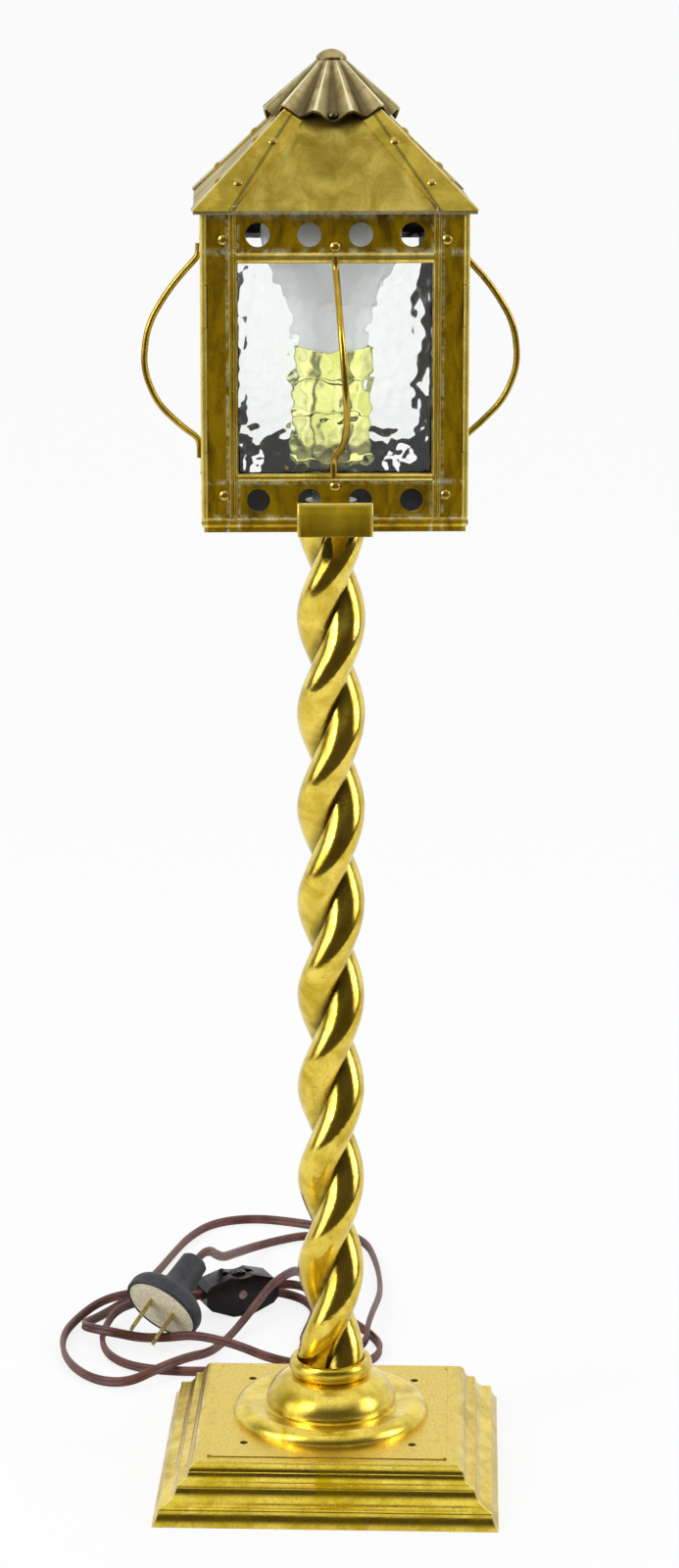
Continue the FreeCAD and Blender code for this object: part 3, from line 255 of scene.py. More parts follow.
# %% Lamps
def soft_box(name, place, aim, width, height, watts):
    """A rectangular lamp that looks at a point."""
    data = bpy.data.lights.new(name, "AREA")
    data.shape = "RECTANGLE"
    data.size = width
    data.size_y = height
    data.energy = watts
    lamp = bpy.data.objects.new(name, data)
    bpy.context.scene.collection.objects.link(lamp)
    look = (Vector(aim) - Vector(place)).to_track_quat("-Z", "Y").to_matrix().to_4x4()
    lamp.matrix_world = Matrix.Translation(place) @ look


COLUMN_MIDDLE = (0, 0, 0.3)
soft_box("key", (-1.5, -1.3, 1.5), COLUMN_MIDDLE, 0.7, 1.1, 16.0)
soft_box("fill", (1.9, -0.2, 1.1), COLUMN_MIDDLE, 0.3, 1.2, 6.0)
print("lamps", [light.name for light in bpy.data.lights])

# %% Floor
FLOOR_SIZE = (14, 40)
FLOOR_PLACE = (0, 19.4, -0.0002)      # it ends 0.6 m in front of the lamp
GLOW = 1.012
GLOW_SHARE = 0.80
floor_form = bmesh.new()
bmesh.ops.create_grid(floor_form, x_segments=1, y_segments=1, size=0.5,
                      matrix=Matrix.Translation(FLOOR_PLACE) @ Matrix.Diagonal((*FLOOR_SIZE, 1, 1)))
floor_mesh = bpy.data.meshes.new("floor")
floor_form.to_mesh(floor_mesh)
floor_form.free()
floor = bpy.data.objects.new("floor", floor_mesh)
bpy.context.scene.collection.objects.link(floor)

sweep = bpy.data.materials.new("white_sweep")
sweep.use_nodes = True
tree = sweep.node_tree
tree.nodes.clear()
matt = add(tree, "BsdfDiffuse", {"Color": (0.90, 0.90, 0.895, 1)})
glow = add(tree, "Emission", {"Color": (1, 1, 1, 1), "Strength": GLOW})
share = maths(tree, "MULTIPLY", seen_ray(tree), GLOW_SHARE)
floor_shader = add(tree, "MixShader", {0: share, 1: matt, 2: glow})
tree.links.new(floor_shader, tree.nodes.new("ShaderNodeOutputMaterial").inputs[0])
floor_mesh.materials.append(sweep)
print("floor", FLOOR_SIZE, "m")

# %% [markdown]
# ## The cord
# A lamp cord is two insulated wires side by side, moulded in one brown skin with a groove down each
# side. It has a real length, so its route is a list of points in millimetres, and a smooth curve finds
# the lie between them. A tube could be modelled ring by ring, but a curve keeps the route easy to
# change: the section is drawn once, as a small closed curve, and swept along both stretches, the tail
# from the base to the switch and the lead from the switch to the plug. It stands mostly on its edge.

# %% Cord section
LOBE = 1.3 * mm
LOBE_OFFSET = 1.1 * mm
LOBE_SQUASH = 0.98                                    # a lobe is a little less wide than high
LOBE_FROM, LOBE_STEP, LOBE_POINTS = -144, 32, 10      # degrees round a lobe, less its groove
section_data = bpy.data.curves.new("cord_section", "CURVE")
section_data.dimensions = "2D"
section_line = section_data.splines.new("POLY")
outline = []
for side in (1, -1):
    for step in range(LOBE_POINTS):
        angle = math.radians(LOBE_FROM + LOBE_STEP * step) + (0 if side > 0 else math.pi)
        outline.append((LOBE * math.cos(angle) * LOBE_SQUASH + side * LOBE_OFFSET, LOBE * math.sin(angle)))
section_line.points.add(len(outline) - 1)
for point, (x, y) in zip(section_line.points, outline):
    point.co = (x, y, 0, 1)
section_line.use_cyclic_u = True
section = bpy.data.objects.new("cord_section", section_data)
bpy.context.scene.collection.objects.link(section)
section.hide_render = True
section.hide_viewport = True
print("section points", len(outline))

# %% Cord skin
cord_skin, tree, shader, place, axes = new_finish("brown_vinyl")
dust = soft_step(tree, grain(tree, place, 9 * mm), 0.42, 0.68)
tone = blend(tree, dust, (0.105, 0.034, 0.022), (0.190, 0.075, 0.052))
tree.links.new(tone, shader.inputs["Base Color"])
tree.links.new(soft_step(tree, dust, 0, 1, 0.34, 0.52), shader.inputs["Roughness"])
tree.links.new(dent(tree, grain(tree, place, 0.7 * mm), 0.05 * mm), shader.inputs["Normal"])
print("finish", cord_skin.name)


# %% Lay the cord
def lay_cord(name, route, sway, pace):
    """One smooth curve led by the route's points, which rolls to and fro by sway degrees."""
    data = bpy.data.curves.new(name, "CURVE")
    data.dimensions = "3D"
    data.twist_mode = "Z_UP"
    line = data.splines.new("NURBS")
    line.points.add(len(route) - 1)
    for index, (point, (x, y, z)) in enumerate(zip(line.points, route)):
        point.co = (x * mm, y * mm, z * mm, 1)
        point.tilt = math.radians(90 + sway * math.sin(index * pace))
    line.order_u = 3
    line.use_endpoint_u = True
    data.resolution_u = 10
    data.bevel_mode = "OBJECT"
    data.bevel_object = section
    data.use_fill_caps = True
    piece = bpy.data.objects.new(name, data)
    bpy.context.scene.collection.objects.link(piece)
    data.materials.append(cord_skin)
    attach(piece, "lamp")
    return piece


tail_route = [
    (0.0, 68.0, 3.3), (0.0, 85.0, 3.3), (-9.5, 95.5, 2.4), (-29.5, 98.5, 2.4), (-52.0, 99.5, 2.4),
    (-77.0, 98.0, 2.4), (-98.5, 102.5, 2.4), (-112.0, 116.5, 2.4), (-117.5, 136.0, 2.4),
    (-117.0, 153.0, 3.4), (-112.5, 167.0, 7.2), (-100.0, 175.0, 9.0), (-84.5, 171.2, 11.2),
    (-65.0, 180.1, 11.2)]
lead_route = [
    (-43.2, 190.1, 11.2), (-30.9, 195.7, 11.2), (-18.5, 192.5, 10.5), (-9.0, 180.5, 7.9),
    (1.0, 168.0, 4.2), (13.5, 152.0, 2.4), (20.5, 134.0, 2.4), (17.5, 116.5, 2.4), (4.0, 107.5, 2.4),
    (-14.0, 106.5, 2.6), (-33.0, 109.5, 5.0), (-51.0, 117.0, 9.6), (-71.0, 128.0, 9.6),
    (-85.0, 137.0, 4.4), (-97.8, 138.3, 3.4), (-109.8, 133.6, 7.8), (-124.4, 140.2, 7.8),
    (-128.6, 155.0, 3.8), (-122.0, 167.5, 2.4), (-113.0, 184.0, 2.4), (-104.0, 207.0, 2.4),
    (-97.0, 233.0, 2.4), (-91.0, 260.0, 2.4), (-84.5, 286.0, 2.4), (-73.0, 307.5, 2.4),
    (-52.0, 315.5, 2.4), (-28.0, 309.0, 2.4), (-6.0, 298.5, 2.4), (9.0, 280.0, 2.4),
    (14.0, 256.0, 2.4), (17.0, 231.0, 2.4), (18.0, 207.0, 3.0), (16.8, 186.0, 5.6),
    (15.0, 166.0, 8.0), (13.0, 147.0, 8.0), (13.1, 133.9, 4.6), (3.9, 124.0, 2.4),
    (-9.9, 124.0, 2.4), (-19.4, 133.9, 2.4), (-18.2, 149.0, 2.4), (-15.6, 165.5, 2.4),
    (-14.6, 182.0, 2.4), (-20.8, 197.5, 2.4), (-34.5, 207.0, 2.4), (-52.0, 211.0, 2.4),
    (-72.0, 210.0, 2.4), (-90.0, 201.0, 3.4),
    (-106.0, 188.5, 8.0), (-121.0, 178.0, 7.6), (-131.5, 165.5, 3.2), (-137.0, 145.0, 2.4),
    (-135.0, 121.0, 2.4), (-127.0, 99.5, 2.4), (-114.0, 84.5, 2.4), (-99.0, 80.5, 3.6),
    (-86.0, 87.5, 8.0), (-72.5, 103.5, 7.8), (-63.5, 119.5, 3.4), (-56.5, 138.0, 2.6),
    (-50.5, 153.0, 4.8), (-43.5, 165.5, 10.5), (-35.5, 177.0, 17.8), (-26.2, 196.0, 17.8),
    (-22.5, 216.0, 9.5), (-16.0, 236.0, 3.4), (-5.0, 255.5, 2.4), (-0.5, 272.0, 2.4),
    (-8.0, 287.0, 2.4), (-23.5, 290.0, 2.4), (-38.5, 280.0, 2.6), (-49.0, 265.5, 4.6),
    (-54.8, 247.5, 8.8), (-58.6, 231.0, 13.2), (-62.0, 213.0, 18.2), (-64.6, 195.5, 26.0),
    (-66.5, 180.0, 34.0), (-70.7, 167.7, 36.4), (-77.0, 158.3, 29.4)]
tail = lay_cord("cord_tail_skin", tail_route, 6, 0.7)
lead = lay_cord("cord_lead_skin", lead_route, 9, 0.9)
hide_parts("cord_tail")
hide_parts("cord_lead")
print("tail points", len(tail_route), "lead points", len(lead_route))

# %% [markdown]
# ## Polished brass
# The base, collar, ring and column are spun, stamped and twisted brass, rubbed bright. Up close such
# brass is never even: it has cloudy tarnish, small pits, and an olive bloom that polish never reaches
# in the grooves. One plain gold would look like plastic, so noise of two sizes mixes three tones. The
# groove of the rope is found by its distance from the column's axis.

# %% Polished brass
BRIGHT = (0.92, 0.70, 0.095)
DEEP = (0.58, 0.40, 0.006)
OLIVE = (0.17, 0.13, 0.010)
ROPE_GROOVE = (7.2 * mm, 10.2 * mm)       # distances from the axis: full tarnish, and none


def polished(name, groove=None, rough=(0.13, 0.26), sway=0.4 * mm):
    """Rubbed brass; groove is (axis distance of full tarnish, of none) in metres."""
    material, tree, shader, place, axes = new_finish(name)
    clouds = soft_step(tree, grain(tree, place, 14 * mm, 4.0, 0.6, 0.6), 0.38, 0.66)
    spots = soft_step(tree, grain(tree, place, 1.6 * mm, 2.0), 0.60, 0.72)
    tone = blend(tree, clouds, BRIGHT, DEEP)
    tone = blend(tree, maths(tree, "MULTIPLY", spots, 0.35), tone, OLIVE)
    dull_clouds = maths(tree, "MULTIPLY", clouds, 0.6)
    dull = maths(tree, "MAXIMUM", dull_clouds, maths(tree, "MULTIPLY", spots, 0.8))
    if groove:
        flat_place = add(tree, "VectorMath", {0: place, 1: (1, 1, 0)}, {"operation": "MULTIPLY"})
        reach = add(tree, "VectorMath", {0: flat_place}, {"operation": "LENGTH"}, "Value")
        low = soft_step(tree, reach, *groove, 1.0, 0.0)
        low = maths(tree, "MULTIPLY", low, soft_step(tree, clouds, 0.0, 1.0, 0.55, 1.0))
        tone = blend(tree, low, tone, OLIVE)
        dull = maths(tree, "MAXIMUM", dull, low)
    tree.links.new(tone, shader.inputs["Base Color"])
    tree.links.new(soft_step(tree, dull, 0, 1, *rough), shader.inputs["Roughness"])
    shader.inputs["Metallic"].default_value = 1.0
    shader.inputs["Coat Weight"].default_value = 0.5
    shader.inputs["Coat Roughness"].default_value = 0.10
    waves = dent(tree, grain(tree, place, 22 * mm, 1.0), sway)
    tree.links.new(dent(tree, grain(tree, place, 1.1 * mm, 2.0), 0.012 * mm, over=waves),
                   shader.inputs["Normal"])
    return material


rope_brass = polished("rope_brass", groove=ROPE_GROOVE)
spun_brass = polished("spun_brass", rough=(0.24, 0.36), sway=0.1 * mm)
paint(rope_brass, "twist_column")
paint(spun_brass, "collar", "neck_ring")
print("finish", rope_brass.name, spun_brass.name)

# %% [markdown]
# The stamped base is the same metal, but its flat top has been wiped rather than rubbed: it is satin,
# speckled and paler. Two materials could share the piece, but height tells the two apart well enough,
# since the top plate is the highest flat of the base. Where two sides meet at a corner, |x| = |y|, and
# a thin bright line there is a painted highlight, standing for the light that the mitre's edge would catch.

# %% Base brass
SATIN_LIGHT, SATIN_DARK = (0.83, 0.62, 0.12), (0.53, 0.38, 0.06)
DRIP = (0.32, 0.30, 0.14)
MITRE_HIGHLIGHT = (1.0, 0.86, 0.30)
MITRE_REACH = 0.9 * mm
MITRE_DULLNESS = 2.4                      # how much rougher it is than the darkest cloud
plate_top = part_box("base_shell")[1][2]
base_brass, tree, shader, place, axes = new_finish("base_brass")
clouds = soft_step(tree, grain(tree, place, 18 * mm, 5.0, 0.62, 0.5), 0.36, 0.66)
speck = soft_step(tree, grain(tree, place, 1.0 * mm, 2.0, 0.7), 0.52, 0.70)
plate = soft_step(tree, axes[2], plate_top - 2.2 * mm, plate_top - 0.6 * mm)
tone = blend(tree, clouds, BRIGHT, DEEP)
tone = blend(tree, maths(tree, "MULTIPLY", speck, 0.35), tone, OLIVE)
tone = blend(tree, plate, tone, blend(tree, speck, SATIN_LIGHT, SATIN_DARK))
drips = soft_step(tree, grain(tree, place, 6 * mm, 3.0, 0.6, 1.0), 0.55, 0.75)
tone = blend(tree, maths(tree, "MULTIPLY", drips, 0.25), tone, DRIP)
across = maths(tree, "SUBTRACT", maths(tree, "ABSOLUTE", axes[0]), maths(tree, "ABSOLUTE", axes[1]))
off_plate = maths(tree, "SUBTRACT", 1.0, plate)
# The mitre line is a painted highlight: its colour is lightened.
mitre_highlight = maths(tree, "MULTIPLY", near(tree, across, 0.0, MITRE_REACH), off_plate)
tone = blend(tree, mitre_highlight, tone, MITRE_HIGHLIGHT)
tree.links.new(tone, shader.inputs["Base Color"])
dull = maths(tree, "MAXIMUM", clouds, maths(tree, "MULTIPLY", mitre_highlight, MITRE_DULLNESS))
side_rough = soft_step(tree, dull, 0, MITRE_DULLNESS, 0.14, 0.50)
plate_rough = soft_step(tree, speck, 0, 1, 0.34, 0.46)
tree.links.new(add(tree, "Mix", {0: plate, 2: side_rough, 3: plate_rough}), shader.inputs["Roughness"])
shader.inputs["Metallic"].default_value = 1.0
waves = dent(tree, grain(tree, place, 30 * mm, 1.0), 0.6 * mm)
tree.links.new(dent(tree, grain(tree, place, 0.9 * mm, 3.0), 0.02 * mm, over=waves),
               shader.inputs["Normal"])
paint(base_brass, "base_shell")
print("plate top", round(plate_top, 4))

# %% [markdown]
# ## Aged brass of the lantern
# The lantern was never lacquered, so its sheets have gone a deep golden brown, streaked where they
# were handled, with pale green verdigris in the seams where damp stays. It could be painted by hand on
# an unwrapped sheet, but the seams lie at known places: along the floor rim and the eave, above and
# below the glass, and beside the beads. So a few masks of height and distance put the crust there.

# %% Verdigris in the seams
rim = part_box("lantern_tray")[1][2]
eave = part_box("eave_ring")[0][2]
pane_low, pane_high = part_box("front_glass")[0][2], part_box("front_glass")[1][2]
# Each seam is its height in metres and how far the crust reaches from it in millimetres.
SEAMS = [(rim, 1.8), (eave, 3.2), (pane_low - 1.0 * mm, 1.6), (pane_high + 2.2 * mm, 2.2)]
POST_SEAMS = [40.0, 44.4]      # from the middle of a face to the two sides of its beads
POST_REACH = 1.1               # and how far the crust reaches from them, all in millimetres
VERDIGRIS = (0.80, 0.90, 0.62)


def seam_mask(tree, place, seams, posts):
    """Ragged mask of the verdigris that sits along level seams and beside the beads."""
    x_side, y_side, height = lantern_sides(tree, place)
    aside = maths(tree, "MINIMUM", x_side, y_side)
    lines = [near(tree, aside, offset * mm, POST_REACH * mm) for offset in posts]
    lines += [near(tree, height, level, reach * mm) for level, reach in seams]
    mask = lines[0]
    for line in lines[1:]:
        mask = maths(tree, "MAXIMUM", mask, line)
    ragged = soft_step(tree, grain(tree, place, 5 * mm, 4.0, 0.65, 0.8), 0.42, 0.60)
    return maths(tree, "MULTIPLY", mask, ragged, True)


print("seams at", [round(level, 4) for level, reach in SEAMS])


# %% Aged brass
def aged(name, light, dark, seams=(), posts=(), metal=0.9, rough=(0.30, 0.50), blotch=16 * mm, crust=0.75):
    """Brass under a patina, light where it was handled and dark elsewhere."""
    material, tree, shader, place, axes = new_finish(name)
    stretched = add(tree, "Mapping", {"Vector": place, "Scale": (1.6, 1.6, 0.6)})
    streaks = soft_step(tree, grain(tree, stretched, blotch, 5.0, 0.62, 0.7), 0.36, 0.66)
    spots = soft_step(tree, grain(tree, place, 1.3 * mm, 3.0), 0.58, 0.74)
    tone = blend(tree, streaks, light, dark)
    tone = blend(tree, maths(tree, "MULTIPLY", spots, 0.4), tone, [0.55 * v for v in dark])
    wear = streaks
    if seams:
        green = maths(tree, "MULTIPLY", seam_mask(tree, place, seams, posts), crust)
        tone = blend(tree, green, tone, VERDIGRIS)
        wear = maths(tree, "MAXIMUM", streaks, green)
        metallic = maths(tree, "MULTIPLY", soft_step(tree, green, 0, 1, 1.0, 0.2), metal)
        tree.links.new(metallic, shader.inputs["Metallic"])
    else:
        shader.inputs["Metallic"].default_value = metal
    tree.links.new(tone, shader.inputs["Base Color"])
    tree.links.new(soft_step(tree, wear, 0, 1, *rough), shader.inputs["Roughness"])
    hammer = dent(tree, grain(tree, place, 12 * mm, 1.0), 0.5 * mm)
    tree.links.new(dent(tree, grain(tree, place, 0.8 * mm, 3.0), 0.03 * mm, over=hammer),
                   shader.inputs["Normal"])
    return material


print("aged brass ready")

# %% [markdown]
# A painted highlight runs along the outer corners of the sheets, and a painted shade, near black,
# darkens their inner sides. Both could be materials of their own on picked faces, but each side of a
# sheet has its own distance from the lantern's middle, so distances alone tell outside, corner and
# inside apart.

# %% Sheets and trim
SHEET = 1.0 * mm               # its thickness: each pane lies against its inner side
FACE = SHEET - min(v.y for v in lantern_points("front_glass"))
# Colours of the painted highlight on corners and edges, and of the painted shade inside the sheets.
EDGE_HIGHLIGHT = (1.0, 0.80, 0.16)
INNER_SHADE = (0.012, 0.011, 0.009)


def paint_corner_highlight_and_inner_shade(material):
    """Painted highlight along the outer corners of the sheets, and painted shade on their inner sides."""
    tree, shader, place, tone = opened(material)
    x_side, y_side, height = lantern_sides(tree, place)
    # painted highlight along the outer corners, in patches
    corner = soft_step(tree, maths(tree, "MINIMUM", x_side, y_side), FACE - 2.2 * mm, FACE - 1.5 * mm)
    patchy = soft_step(tree, grain(tree, place, 6 * mm), 0.30, 0.55, 0.60, 1.0)
    tone = blend(tree, maths(tree, "MULTIPLY", corner, patchy), tone, EDGE_HIGHLIGHT)
    # painted shade, near black, on the inner sides
    inside = soft_step(tree, maths(tree, "MAXIMUM", x_side, y_side), FACE - 0.5 * mm, FACE - 0.8 * mm)
    tone = blend(tree, inside, tone, INNER_SHADE)
    tree.links.new(tone, shader.inputs["Base Color"])
    rough = shader.inputs["Roughness"].links[0].from_socket
    tree.links.new(maths(tree, "MAXIMUM", rough, maths(tree, "MULTIPLY", inside, 0.85)),
                   shader.inputs["Roughness"])


sheet_brass = aged("sheet_brass", (0.74, 0.47, 0.006), (0.22, 0.125, 0.001), SEAMS, POST_SEAMS,
                   metal=0.62, rough=(0.20, 0.38), blotch=11 * mm)
paint_corner_highlight_and_inner_shade(sheet_brass)
# The trim's tone is lighter than the sheets', partly as a painted highlight on the crests of its beads.
trim_brass = aged("trim_brass", (1.0, 0.76, 0.14), (0.52, 0.35, 0.02), SEAMS, metal=0.75,
                  rough=(0.18, 0.32), crust=0.5)
paint(sheet_brass, "front_panel", "back_panel", "left_door_panel", "right_door_panel", "lantern_tray",
      "under_plate")
paint(trim_brass, "panel_trim", "left_door_trim", "right_door_trim", "hinge_pins", "left_door_catch",
      "right_door_catch")
print("lantern face at", round(FACE / mm, 1), "mm")

# %% [markdown]
# The strap under the lantern ends in two clips, one in front and one behind. Each gets a painted
# highlight along its upper and side edges, and painted shade that darkens it towards the bend below.
# The edges are found from the strap's own size, measured on its points, so the bright lines stay on them.

# %% Strap under the lantern
clip_brass = aged("clip_brass", (0.85, 0.61, 0.03), (0.48, 0.32, 0.008), metal=0.45, rough=(0.14, 0.24))
clip_points = lantern_points("saddle_bracket")
clip_half, clip_top = max(v.x for v in clip_points), max(v.z for v in clip_points)
tree, shader, place, tone = opened(clip_brass)
x_side, y_side, height = lantern_sides(tree, place)
side_edge = soft_step(tree, x_side, clip_half - 1.5 * mm, clip_half - 0.7 * mm)
top_edge = soft_step(tree, height, clip_top - 1.6 * mm, clip_top - 0.8 * mm)
# painted shade towards the bend, then a painted highlight along the upper and side edges
shade = soft_step(tree, height, clip_top - 3 * mm, clip_top - 12 * mm, 0.0, 0.7)
tone = blend(tree, shade, tone, (0.20, 0.115, 0.001))
tone = blend(tree, maths(tree, "MAXIMUM", side_edge, top_edge), tone, EDGE_HIGHLIGHT)
tree.links.new(tone, shader.inputs["Base Color"])
print("clip half", round(clip_half / mm, 1), "top", round(clip_top / mm, 1))

# %% [markdown]
# The eave ring is the rim that the roof stands on. Drips run to it and dry there, so it is paler,
# greyer and rougher than the sheets. Smaller blotches and less metal say this with the same function.

# %% Eave ring
eave_brass = aged("eave_brass", (0.62, 0.60, 0.36), (0.30, 0.25, 0.08), metal=0.5, rough=(0.40, 0.60),
                  blotch=5 * mm)
paint(eave_brass, "eave_ring")
print("finish", eave_brass.name)

# %% [markdown]
# ## The roof and its straps
# Four folded straps cover the hips of the pyramid roof. Their ridges carry a painted highlight, a dark
# line runs along their edges, and each slope has a dark blot in its middle. All this could be painted on an
# unwrapped roof, but on a square pyramid the hips lie where |x| = |y| along the lantern's own axes, so
# |x| less |y| grows with the distance from the nearest hip, and one pattern serves all four.

# %% Where the straps' edges lie
strap_points = lantern_points("hip_straps")
strap_low, strap_high = min(v.z for v in strap_points), max(v.z for v in strap_points)


def strap_edge(level):
    """Height, and distance from the hip's line to the strap's edge, as |x| less |y|."""
    there = [abs(abs(v.x) - abs(v.y)) for v in strap_points if abs(v.z - level) < 1.6 * mm]
    return level, max(there)


STRAP_FOOT, STRAP_HEAD = strap_edge(strap_low), strap_edge(strap_high - 1.5 * mm)
print("strap edge", [round(v / mm, 1) for v in STRAP_FOOT + STRAP_HEAD])

# %% Roof and straps
BLOT_HEIGHT = eave + 21 * mm
BLOT, STRAP_EDGE_DARK, FLECK = (0.21, 0.16, 0.010), (0.060, 0.042, 0.012), (0.80, 0.82, 0.72)
HIP_HIGHLIGHT = (1.0, 0.84, 0.36)


def aged_hips(name, light, dark, hip, seam, rough):
    """Aged brass with a painted highlight on each hip and a dark line along each strap's edge."""
    material = aged(name, light, dark, rough=rough, blotch=20 * mm)
    tree, shader, place, tone = opened(material)
    x_side, y_side, height = lantern_sides(tree, place)
    across = maths(tree, "ABSOLUTE", maths(tree, "SUBTRACT", x_side, y_side))
    aside = maths(tree, "MINIMUM", x_side, y_side)
    up = maths(tree, "MULTIPLY", maths(tree, "SUBTRACT", height, BLOT_HEIGHT), 1.5)
    radius = maths(tree, "SQRT", maths(tree, "ADD", maths(tree, "MULTIPLY", aside, aside),
                                       maths(tree, "MULTIPLY", up, up)))
    wander = soft_step(tree, grain(tree, place, 8 * mm), 0.3, 0.7, -4 * mm, 4 * mm)
    blot = soft_step(tree, maths(tree, "ADD", radius, wander), 15 * mm, 7 * mm, 0.0, 0.55)
    tone = blend(tree, blot, tone, BLOT)
    edge = soft_step(tree, height, STRAP_FOOT[0], STRAP_HEAD[0], STRAP_FOOT[1], STRAP_HEAD[1])
    beside = soft_step(tree, maths(tree, "ABSOLUTE", maths(tree, "SUBTRACT", across, edge)),
                       0.4 * mm, 1.1 * mm, seam, 0.0)
    # a dark line along each strap's edge
    tone = blend(tree, beside, tone, STRAP_EDGE_DARK)
    fleck = soft_step(tree, grain(tree, place, 2.2 * mm, 3.0), 0.60, 0.66, 0.0, 0.8)
    low_down = soft_step(tree, height, eave + 18 * mm, eave + 4 * mm)
    fleck = maths(tree, "MULTIPLY", maths(tree, "MULTIPLY", fleck, beside), low_down)
    tone = blend(tree, fleck, tone, FLECK)
    # a painted highlight along each hip
    tone = blend(tree, soft_step(tree, across, 0.3 * mm, 0.9 * mm, hip, 0.0), tone, HIP_HIGHLIGHT)
    tree.links.new(tone, shader.inputs["Base Color"])
    return material


roof_brass = aged_hips("roof_brass", (0.56, 0.42, 0.080), (0.31, 0.225, 0.016), 0.0, 0.85, (0.34, 0.48))
strap_brass = aged_hips("strap_brass", (0.54, 0.40, 0.055), (0.30, 0.21, 0.012), 0.7, 0.6, (0.26, 0.42))
paint(roof_brass, "roof_shell")
paint(strap_brass, "hip_straps")
print("finish", roof_brass.name, strap_brass.name)

# %% [markdown]
# ## The fluted cap
# The cap is pressed into twelve flutes below a smooth crown. Its metal already has that shape, and
# light and shade are painted on it: a painted highlight on the crests, painted shade in the valleys. An
# occlusion mask could find the valleys, but the cosine of twelve times the bearing round the axis is
# exact and needs no bake.

# %% Fluted cap
FLUTES = 12.0
FLUTES_END, CROWN_START = eave + 57.0 * mm, eave + 61.0 * mm
VALLEY_SHADE, CREST_HIGHLIGHT = (0.100, 0.072, 0.030), (1.0, 0.92, 0.58)
cap_brass, tree, shader, place, axes = new_finish("cap_brass")
cap_axes = lantern_axes(tree, place)
bearing = maths(tree, "ARCTAN2", cap_axes[1], cap_axes[0])
wave = maths(tree, "COSINE", maths(tree, "MULTIPLY", bearing, FLUTES))
fluted = soft_step(tree, axes[2], CROWN_START, FLUTES_END)
valley_shade = maths(tree, "MULTIPLY", soft_step(tree, wave, -0.35, 0.75), fluted)
crest_highlight = maths(tree, "MULTIPLY", soft_step(tree, wave, -0.90, -0.99), fluted)
cloud = soft_step(tree, grain(tree, place, 7 * mm, 4.0, 0.6, 0.5), 0.36, 0.64)
tone = blend(tree, cloud, (0.58, 0.48, 0.23), (0.33, 0.255, 0.085))
# painted shade in the valleys, then a painted highlight on the crests
tone = blend(tree, maths(tree, "MULTIPLY", valley_shade, 0.84), tone, VALLEY_SHADE)
tone = blend(tree, maths(tree, "MULTIPLY", crest_highlight, 0.85), tone, CREST_HIGHLIGHT)
tree.links.new(tone, shader.inputs["Base Color"])
tree.links.new(soft_step(tree, cloud, 0, 1, 0.24, 0.40), shader.inputs["Roughness"])
shader.inputs["Metallic"].default_value = 0.95
tree.links.new(dent(tree, grain(tree, place, 0.8 * mm, 3.0), 0.03 * mm), shader.inputs["Normal"])
paint(cap_brass, "vent_cap", "cap_button", "cap_screws")
print("finish", cap_brass.name)

# %% [markdown]
# ## Rivets, crusted ring and wire guards
# These are the same aged brass in small. Rivet heads get small blotches, the ring under the cap is
# nearly all crust, so it is rough, green and hardly metallic, and the drawn wire of the guards is
# smoother. One function with other numbers keeps them one family of metal.

# %% Rivets, ring and guards
rivet_brass = aged("rivet_brass", (0.70, 0.50, 0.10), (0.38, 0.26, 0.04), rough=(0.20, 0.34), blotch=3 * mm)
green_brass = aged("green_brass", (0.62, 0.70, 0.55), (0.24, 0.24, 0.14), metal=0.2, rough=(0.55, 0.75),
                   blotch=4 * mm)
wire_brass = aged("wire_brass", (0.62, 0.43, 0.055), (0.40, 0.25, 0.022), rough=(0.18, 0.30),
                  blotch=14 * mm)
paint(rivet_brass, "panel_rivets", "left_door_rivets", "right_door_rivets", "roof_rivets")
paint(green_brass, "vent_collar")
paint(wire_brass, "front_guard", "back_guard", "left_door_guard", "right_door_guard")
print("finish", rivet_brass.name, green_brass.name, wire_brass.name)

# %% [markdown]
# ## Hammered glass
# The panes are rolled glass with a hammered inner face: hundreds of shallow domes, each a small lens.
# Bump alone would not bend what is seen through the pane, so the domes are real. A grid is given its
# thickness, and then each point of the inner face moves by its distance from the nearest dome's middle.
# The renderer lets no lamp shine straight through glass that bends light, so for shadows alone the
# pane counts as a tinted film.

# %% Glass finishes
def clear_glass(name, tint, rough):
    """Glass that bends what is seen through it but lets lamps light what is behind it."""
    material, tree, shader, place, axes = new_finish(name)
    shader.inputs["Base Color"].default_value = (*tint, 1)
    shader.inputs["Roughness"].default_value = rough
    shader.inputs["IOR"].default_value = 1.5
    shader.inputs["Transmission Weight"].default_value = 1.0
    lamp_ray = add(tree, "LightPath", out="Is Shadow Ray")
    film = add(tree, "BsdfTransparent", {"Color": (*tint, 1)})
    output = next(n for n in tree.nodes if n.type == "OUTPUT_MATERIAL")
    passed = add(tree, "MixShader", {0: lamp_ray, 1: shader.outputs[0], 2: film})
    tree.links.new(passed, output.inputs[0])
    return material


pane_glass = clear_glass("hammered_glass", (0.985, 1.0, 0.99), 0.02)
print("finish", pane_glass.name)

# %% Hammered panes
DOME = 5.0 * mm                # from one dome to the next
DOME_RISE = 0.30 * mm
DRIFT = 0.35                   # how far the domes stray from an even spread, in domes
SAG = 0.35 * mm                # the slow waves of the whole pane
OUTER_RIPPLE = 0.10 * mm       # what shows of the domes on the smooth face
RIM = 2.4 * mm                 # the border over which the domes fade out
SHIFTS = [Vector((9.3, -1.5, -7.9)), Vector((0.4, 0.2, 0.7)), Vector((-2.3, 4.7, 6.1))]
pane_points = lantern_points("front_glass")
pane_box = [[pick(spot[i] for spot in pane_points) for i in range(3)] for pick in (min, max)]


